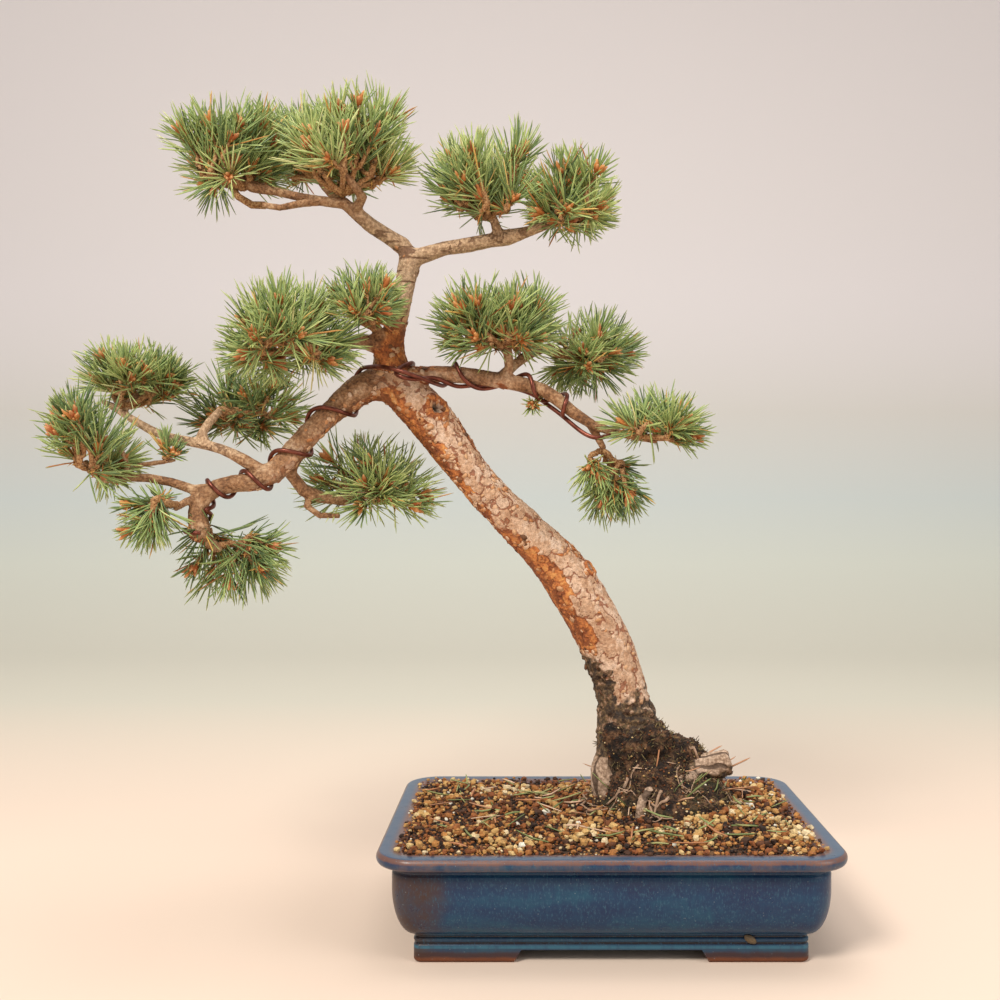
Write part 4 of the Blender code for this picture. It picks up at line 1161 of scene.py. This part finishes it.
def grow_pad(seed, middle, half, carrier, shoots, rise, shade):
    """The needles of one pad; its twigs and buds join those of the whole tree."""
    chance = random.Random(seed)
    needles = []
    centre, start = on_tree(middle), on_tree(carrier)
    half = Vector(half) * MM
    boughs = max(1, round(shoots / 4.5))
    bough_ends = []
    for bough in range(boughs):
        turn = (bough + chance.uniform(0.2, 0.8)) * math.tau / boughs
        reach = chance.uniform(0.3, 0.5) if boughs > 1 else 0.0
        low = centre.z - math.copysign(0.4, rise) * half.z
        height = start.z + (low - start.z) * 0.6 + chance.uniform(-2, 4) * MM
        end = Vector((centre.x + math.cos(turn) * half.x * reach, centre.y + math.sin(turn) * half.y * reach, height))
        bend = start.lerp(end, 0.5) + scattered(chance, 2.5 * MM)
        path = [start, bend, bend.lerp(end, 0.5), end]
        twig_lines.append(([noise_bent(path, share / 6, chance) for share in range(7)], 2.4 * MM, 1.8 * MM))
        bough_ends.append((turn, end))
    for number in range(shoots):
        sector, branching = bough_ends[number % boughs]
        turn = sector + chance.uniform(-0.55, 0.55) * math.tau / boughs
        reach = math.sqrt(chance.uniform(0.02, 1.0)) * 0.76
        flat = Vector((math.cos(turn) * half.x, math.sin(turn) * half.y, 0)) * reach
        level = chance.uniform(-0.72, 0.5) * (1 - 0.35 * reach) * math.copysign(1, rise)
        tip = centre + flat + Vector((0, 0, level * half.z))
        out = Vector((flat.x, flat.y, 0)) / max(half.x, half.y)
        aim = out * 1.1 + Vector((0, 0, rise * (1.0 - 0.5 * reach))) + scattered(chance, 0.4)
        aim = (aim.normalized() * 0.8 + (tip - branching).normalized() * 0.9).normalized()
        shoot = min(chance.uniform(15, 24) * MM, (tip - branching).length * 0.85)
        neck = tip - aim * shoot
        path = [branching, branching.lerp(neck, 0.5) - Vector((0, 0, rise * 2 * MM)), neck, tip]
        twig_lines.append(([noise_bent(path, share / 7, chance) for share in range(8)], 1.8 * MM, 1.4 * MM))
        # A shoot's needles take a random tone plus the pad's painted lightening or shading.
        tone_and_shade_here = chance.uniform(-0.2, 0.16) + shade
        pairs = int(PAIRS_A_SHOOT * chance.uniform(0.7, 1.25))
        usual_length = chance.choice((22, 25, 28, 31, 34, 42)) * MM
        for pair in range(pairs):
            share = (pair + chance.random()) / pairs
            base = neck.lerp(tip, 0.05 + 0.85 * share)
            side = Matrix.Rotation(pair * 2.39996, 3, aim) @ aim.orthogonal().normalized()
            spread = math.radians(chance.uniform(28, 72) - 24 * share)
            way = aim * math.cos(spread) + side * math.sin(spread) + Vector((0, 0, 0.2 * rise))
            length = usual_length * chance.uniform(0.82, 1.12)
            for twin in (-1, 1):
                lean = way.normalized() + side.cross(aim) * 0.055 * twin + scattered(chance, 0.07)
                lean.normalize()
                off = base + lean * length - centre
                spill = math.sqrt(sum((off[axis] / half[axis]) ** 2 for axis in range(3)))
                limit = chance.uniform(0.88, 1.25)
                fit = length if spill < limit else length * max(0.55, 1 - (spill - limit) * 0.8)
                if not in_room(base + lean * fit):
                    continue
                width = NEEDLE_RADIUS * chance.uniform(0.85, 1.15)
                tone = min(max(chance.gauss(0.5, 0.17) + tone_and_shade_here, 0.0), 0.93)
                if chance.random() < 0.03:
                    tone = chance.uniform(0.95, 1.0)
                place = aimed(base, lean, chance.uniform(0, math.tau), (width, width * 0.7, fit))
                needles.append((place, tone, chance.randrange(3)))
        for scale in range(11):
            side = Matrix.Rotation(scale * 2.39996, 3, aim) @ aim.orthogonal().normalized()
            way = (side + aim * chance.uniform(0.3, 1.4)).normalized()
            length = chance.uniform(3.0, 7.0) * MM
            base = neck.lerp(tip, chance.uniform(0.1, 1.0))
            place = aimed(base, way, chance.uniform(0, 6), (1.0 * MM, 0.5 * MM, length))
            needles.append((place, chance.uniform(0.965, 1.0), chance.randrange(3)))
        buds = chance.choice((4, 5, 6, 7))
        for bud in range(buds):
            side = Matrix.Rotation(bud * math.tau / buds, 3, aim) @ aim.orthogonal().normalized()
            bud_way = (aim + side * (0.5 if bud else 0.05)).normalized()
            bud_length = chance.uniform(6.0, 13.0) * MM
            girth_here = chance.uniform(1.6, 2.4) * MM
            place = aimed(
                tip - aim * 1.5 * MM, bud_way, chance.uniform(0, 6), (girth_here, girth_here, bud_length)
            )
            all_buds.append((place, chance.random(), 0))
    return needles


def noise_bent(path, share, chance):
    """A point on a smooth line through a shoot's four marks, a little crooked."""
    a, b, c, d = path
    rest = 1 - share
    point = a * rest**3 + b * 3 * rest * rest * share + c * 3 * rest * share * share + d * share**3
    sway = Vector([chance.uniform(-1, 1) for _ in range(3)]) * 1.1 * MM
    return point + sway * math.sin(share * math.pi)


foliage = Finish("pine_needles", 0.42)
foliage_mark = foliage.node("UVMap", {"uv_map": "OFBake"}, {})
needle_share = foliage.node("SeparateXYZ", {}, {"Vector": foliage_mark}, "X")
needle_tone = foliage.node("SeparateXYZ", {}, {"Vector": foliage_mark}, "Y")
green = foliage.node(
    "ValToRGB",
    {
        "stops": [
            (0.0, (0.08, 0.13, 0.055)),
            (0.25, (0.18, 0.27, 0.1)),
            (0.5, (0.33, 0.43, 0.145)),
            (0.75, (0.51, 0.61, 0.23)),
            (0.92, (0.68, 0.71, 0.34)),
            (0.96, (0.74, 0.46, 0.13)),
            (1.0, (0.42, 0.14, 0.04)),
        ]
    },
    {0: needle_tone},
)
green = foliage.mix(foliage.band(needle_share, 0.12, 0.0, 0.0, 0.75), green, (0.45, 0.26, 0.09))
green = foliage.mix(foliage.band(needle_share, 0.8, 1.0, 0.0, 0.4), green, (0.5, 0.46, 0.14))
foliage.wear("Base Color", green)
foliage.wear("Specular IOR Level", 0.4)
for number, (pad_name, shape) in enumerate(PADS.items()):
    pad_needles = grow_pad(101 + number, *shape)
    pad_mesh = strewn(pad_name, needle_shapes, pad_needles, lambda corners: corners[:, 2])
    fitted(pad_mesh, f"{pad_name}_needles", foliage, [pad_name])

bud_finish = Finish("resin_buds", 0.55)
bud_mark = bud_finish.node("UVMap", {"uv_map": "OFBake"}, {})
bud_share = bud_finish.node("SeparateXYZ", {}, {"Vector": bud_mark}, "X")
bud_tone = bud_finish.node("SeparateXYZ", {}, {"Vector": bud_mark}, "Y")
bud_colour = bud_finish.mix(bud_tone, (0.36, 0.08, 0.02), (0.68, 0.27, 0.07))
bud_colour = bud_finish.mix(bud_finish.band(bud_share, 0.6, 1.0, 0.0, 0.5), bud_colour, (0.76, 0.46, 0.2))
bud_finish.wear("Base Color", bud_colour)
fitted(
    strewn("resin_buds", [pine_bud], all_buds, lambda corners: corners[:, 2]),
    "resin_buds",
    bud_finish,
)


def drawn_out(lines, sides):
    """One bmesh of closed tapered tubes along lines of points."""
    bm = bmesh.new()
    for line, thick, thin in lines:
        ring = bmesh.ops.create_circle(bm, segments=sides, radius=1.0, cap_ends=True)["verts"]
        way = (line[1] - line[0]).to_track_quat("Z", "Y").to_matrix()
        offsets = [way @ vert.co for vert in ring]
        for vert, offset in zip(ring, offsets):
            vert.co = line[0] + offset * thick
        for count, point in enumerate(line[1:], 1):
            face = ring[0].link_faces[0] if count == 1 else top
            grown = bmesh.ops.extrude_face_region(bm, geom=[face], use_keep_orig=count == 1)["geom"]
            ring = [item for item in grown if isinstance(item, bmesh.types.BMVert)]
            top = next(item for item in grown if isinstance(item, bmesh.types.BMFace))
            radius = thick + (thin - thick) * count / (len(line) - 1)
            before = line[count - 1]
            centre = sum((vert.co for vert in ring), Vector()) / len(ring)
            ahead = line[min(count + 1, len(line) - 1)] - before
            turn = (centre_way(ring, centre)).rotation_difference(ahead)
            for vert in ring:
                arm = (vert.co - centre).normalized()
                arm.rotate(turn)
                vert.co = point + arm * radius
    bmesh.ops.recalc_face_normals(bm, faces=bm.faces)
    return bm


def centre_way(ring, centre):
    """The way a ring of vertices faces."""
    total = Vector()
    for a, b in zip(ring, ring[1:] + ring[:1]):
        total += (a.co - centre).cross(b.co - centre)
    return total.normalized()


fork = [on_tree(point) for point in ((-276, -30, 449), (-286, -31, 449), (-296, -31, 455), (-303, -30, 465))]
twig_lines.append((fork, 3.0 * MM, 2.4 * MM))
twig_bm = drawn_out(twig_lines, 6)
for vert in twig_bm.verts:
    vert.co += vert.normal * noise.noise(vert.co * 700) * 0.5 * MM
twig = Finish("shoot_bark", 0.85)
twig_scale = twig.cells(750)
twig_blotch = twig.noise(160, 4, 0.6)
twig.wear(
    "Base Color",
    twig.node(
        "ValToRGB",
        {"stops": [(0.2, (0.09, 0.034, 0.013)), (0.5, (0.29, 0.12, 0.04)), (0.8, (0.5, 0.29, 0.13))]},
        {0: twig_scale * 0.8 + twig_blotch * 0.5},
    ),
)
twig.bump(twig_scale, 0.8, 0.0008)
fitted(mesh_from(twig_bm, "shoots", 180), "shoots", twig)


# Fallen needles lie on the soil, some green where they were cut, most dry and tan, and fine roots and
# moss stick out of the muck.

chance = random.Random(71)
fallen = []
for number in range(125):
    x = pot_centre.x + chance.uniform(-0.128, 0.128)
    y = pot_centre.y + chance.uniform(-0.088, 0.088)
    if (Vector((x, y, 0)) - Vector((tree_foot.x + 0.01, tree_foot.y - 0.01, 0))).length < 40 * MM:
        continue
    length = chance.uniform(10, 26) * MM
    turn = chance.uniform(0, math.tau)
    way = Vector((math.cos(turn), math.sin(turn), chance.uniform(-0.05, 0.1))).normalized()
    tone = chance.choice((0.66, 0.74, 0.8, 0.84, 0.86, 0.98, 0.985, 1.0))
    point = Vector((x, y, soil_height(x, y) + chance.uniform(2.4, 4.2) * MM))
    far = point + way * length
    if not in_pot(far.x, far.y, RIM_WIDTH - 3 * MM):
        continue
    place = aimed(point, way, chance.uniform(0, 6), (0.95 * MM, 0.55 * MM, length))
    fallen.append((place, tone, chance.randrange(3)))
for number in range(90):
    turn = chance.uniform(0, math.tau)
    reach = chance.uniform(20, 58) * MM
    x = tree_foot.x + 10 * MM + math.cos(turn) * reach
    y = tree_foot.y - 12 * MM + math.sin(turn) * reach * 0.8
    hit = muck_surface.ray_cast(Vector((x, y, 0.3)), Vector((0, 0, -1)))
    if not hit[0] or hit[0].z < RIM_TOP - 4 * MM or hit[0].z > tree_foot.z + 34 * MM:
        continue
    way = (hit[1] * 0.5 + scattered(chance, 0.9)).normalized()
    way.z = abs(way.z) * 0.8
    length = chance.uniform(10, 27) * MM
    place = aimed(hit[0] - hit[1] * MM, way.normalized(), chance.uniform(0, 6), (0.8 * MM, 0.5 * MM, length))
    tone = chance.choice((0.7, 0.8, 0.972, 0.98, 0.985, 0.99, 1.0))
    fallen.append((place, tone, chance.randrange(3)))
litter = Finish("fallen_needles", 0.6)
litter_mark = litter.node("UVMap", {"uv_map": "OFBake"}, {})
litter_tone = litter.node("SeparateXYZ", {}, {"Vector": litter_mark}, "Y")
litter.wear(
    "Base Color",
    litter.node(
        "ValToRGB",
        {
            "stops": [
                (0.55, (0.1, 0.14, 0.04)),
                (0.84, (0.32, 0.36, 0.13)),
                (0.96, (0.6, 0.33, 0.17)),
                (0.98, (0.5, 0.21, 0.09)),
                (1.0, (0.75, 0.5, 0.33)),
            ]
        },
        {0: litter_tone},
    ),
)
fitted(
    strewn("fallen_needles", needle_shapes, fallen, lambda corners: corners[:, 2]),
    "fallen_needles",
    litter,
)

moss = []
for _ in range(5200):
    index = chance.randrange(len(muck_points))
    point, normal = muck_points[index], muck_normals[index]
    if normal.z < -0.3 or point.z < RIM_TOP - 2 * MM or noise.noise(point * 45) < -0.12:
        continue
    way = (normal + scattered(chance, 0.9)).normalized()
    length = chance.uniform(1.5, 5.0) * MM
    moss.append((aimed(point, way, 0.0, (0.26 * MM, 0.26 * MM, length)), chance.random() ** 1.8, 0))
moss_finish = Finish("moss", 0.8)
moss_mark = moss_finish.node("UVMap", {"uv_map": "OFBake"}, {})
moss_tone = moss_finish.node("SeparateXYZ", {}, {"Vector": moss_mark}, "Y")
moss_finish.wear("Base Color", moss_finish.mix(moss_tone, (0.05, 0.03, 0.013), (0.34, 0.25, 0.1)))
fitted(
    strewn("moss", needle_shapes[:1], moss, lambda corners: corners[:, 2]), "moss", moss_finish
)

root_lines = []
for _ in range(42):
    turn = chance.uniform(0, math.tau)
    reach = chance.uniform(22, 54) * MM
    x = tree_foot.x + 12 * MM + math.cos(turn) * reach
    y = tree_foot.y - 12 * MM + math.sin(turn) * reach * 0.85
    line = []
    heading = turn + chance.uniform(-1.3, 1.3)
    for _ in range(9):
        hit = muck_surface.ray_cast(Vector((x, y, 0.3)), Vector((0, 0, -1)))
        ground = max(hit[0].z if hit[0] else 0.0, soil_height(x, y) + 1.5 * MM)
        if ground > tree_foot.z + 45 * MM or not in_pot(x, y, RIM_WIDTH):
            break
        line.append(Vector((x, y, ground + chance.uniform(0.3, 2.2) * MM)))
        heading += chance.uniform(-0.75, 0.75)
        x += math.cos(heading) * 3.2 * MM
        y += math.sin(heading) * 3.2 * MM
    if len(line) > 4:
        root_lines.append((line, chance.choice((0.5, 0.7, 0.9, 1.4)) * MM, 0.3 * MM))
rootlet = Finish("fine_roots", 0.75)
rootlet_blotch = rootlet.noise(200, 3, 0.6)
rootlet.wear("Base Color", rootlet.mix(rootlet_blotch, (0.2, 0.1, 0.055), (0.62, 0.42, 0.28)))
rootlet.bump(rootlet_blotch, 0.4, 0.0004)
fitted(mesh_from(drawn_out(root_lines, 6), "fine_roots", 180), "fine_roots", rootlet)


# The floor is a pale sweep that curves up behind the tree, under broad soft lamps.

sweep_bm = bmesh.new()
foot_edge = [sweep_bm.verts.new((x, -3.0, 0)) for x in (-4.0, 4.0)]
line_edge = [sweep_bm.edges.new(foot_edge)]
run = bmesh.ops.extrude_edge_only(sweep_bm, edges=line_edge)["geom"]
bmesh.ops.translate(sweep_bm, vec=(0, 4.4, 0), verts=[v for v in run if isinstance(v, bmesh.types.BMVert)])
bmesh.ops.spin(
    sweep_bm,
    geom=[item for item in run if not isinstance(item, bmesh.types.BMFace)],
    cent=(0, 1.4, 1.2),
    axis=(1, 0, 0),
    dvec=(0, 0, 0),
    angle=math.pi / 2,
    steps=24,
)
top_edge = [edge for edge in sweep_bm.edges if all(vert.co.y > 2.599 for vert in edge.verts)]
rise = bmesh.ops.extrude_edge_only(sweep_bm, edges=top_edge)["geom"]
bmesh.ops.translate(sweep_bm, vec=(0, 0, 2.6), verts=[v for v in rise if isinstance(v, bmesh.types.BMVert)])
sweep_mesh = mesh_from(sweep_bm, "sweep", 60)
backdrop = Finish("pale_sweep", 0.9)
backdrop_height = backdrop.node("SeparateXYZ", {}, {"Vector": backdrop.place}, "Z")
backdrop_depth = backdrop.node("SeparateXYZ", {}, {"Vector": backdrop.place}, "Y")
backdrop.wear(
    "Base Color",
    backdrop.node(
        "ValToRGB",
        {
            "stops": [
                (0.0, (0.78, 0.62, 0.5)),
                (0.04, (0.67, 0.635, 0.53)),
                (0.3, (0.7, 0.715, 0.63)),
                (0.5, (0.66, 0.7, 0.67)),
                (0.77, (0.735, 0.7, 0.65)),
                (1.0, (0.855, 0.8, 0.8)),
            ]
        },
        {0: backdrop.band(backdrop_height + backdrop_depth * 0.2, 0.0, 1.5)},
    ),
)
sweep_mesh.materials.append(backdrop.material)
sweep = bpy.data.objects.new("pale_sweep", sweep_mesh)
bpy.context.scene.collection.objects.link(sweep)
sweep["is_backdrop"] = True

world = bpy.data.worlds.new("soft_room")
bpy.context.scene.world = world
world.use_nodes = True
world.node_tree.nodes["Background"].inputs["Color"].default_value = (1.0, 0.98, 0.96, 1.0)
world.node_tree.nodes["Background"].inputs["Strength"].default_value = 0.52


def lamp(name, place, aim, size, watts, colour):
    light = bpy.data.lights.new(name, "AREA")
    light.shape = "DISK"
    light.size = size
    light.energy = watts
    light.color = colour
    shade = bpy.data.objects.new(name, light)
    shade.location = place
    shade.rotation_euler = (Vector(aim) - Vector(place)).to_track_quat("-Z", "Y").to_euler()
    bpy.context.scene.collection.objects.link(shade)
    shade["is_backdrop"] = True


lamp("main_lamp", (-0.9, -1.5, 1.9), (0.0, 0.0, 0.3), 0.8, 46, (1.0, 0.96, 0.9))
lamp("side_lamp", (1.6, -1.1, 1.2), (0.0, 0.0, 0.3), 1.2, 14, (1.0, 0.98, 0.96))
lamp("top_lamp", (0.1, 0.2, 2.2), (0.0, 0.0, 0.3), 1.4, 16, (1.0, 0.99, 0.98))

camera = bpy.data.cameras.new("camera")
camera.sensor_width = 36
camera.lens = 41.5
camera.shift_x = -0.034
viewer = bpy.data.objects.new("camera", camera)
viewer.location = (pot_centre.x - 51 * MM, pot_centre.y - 847 * MM, 304.3 * MM)
viewer.rotation_euler = (math.radians(90), 0, 0)
bpy.context.scene.collection.objects.link(viewer)
bpy.context.scene.camera = viewer
bpy.context.scene.view_settings.view_transform = "Standard"

sizes = {"cad": cad_box, "visual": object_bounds()}
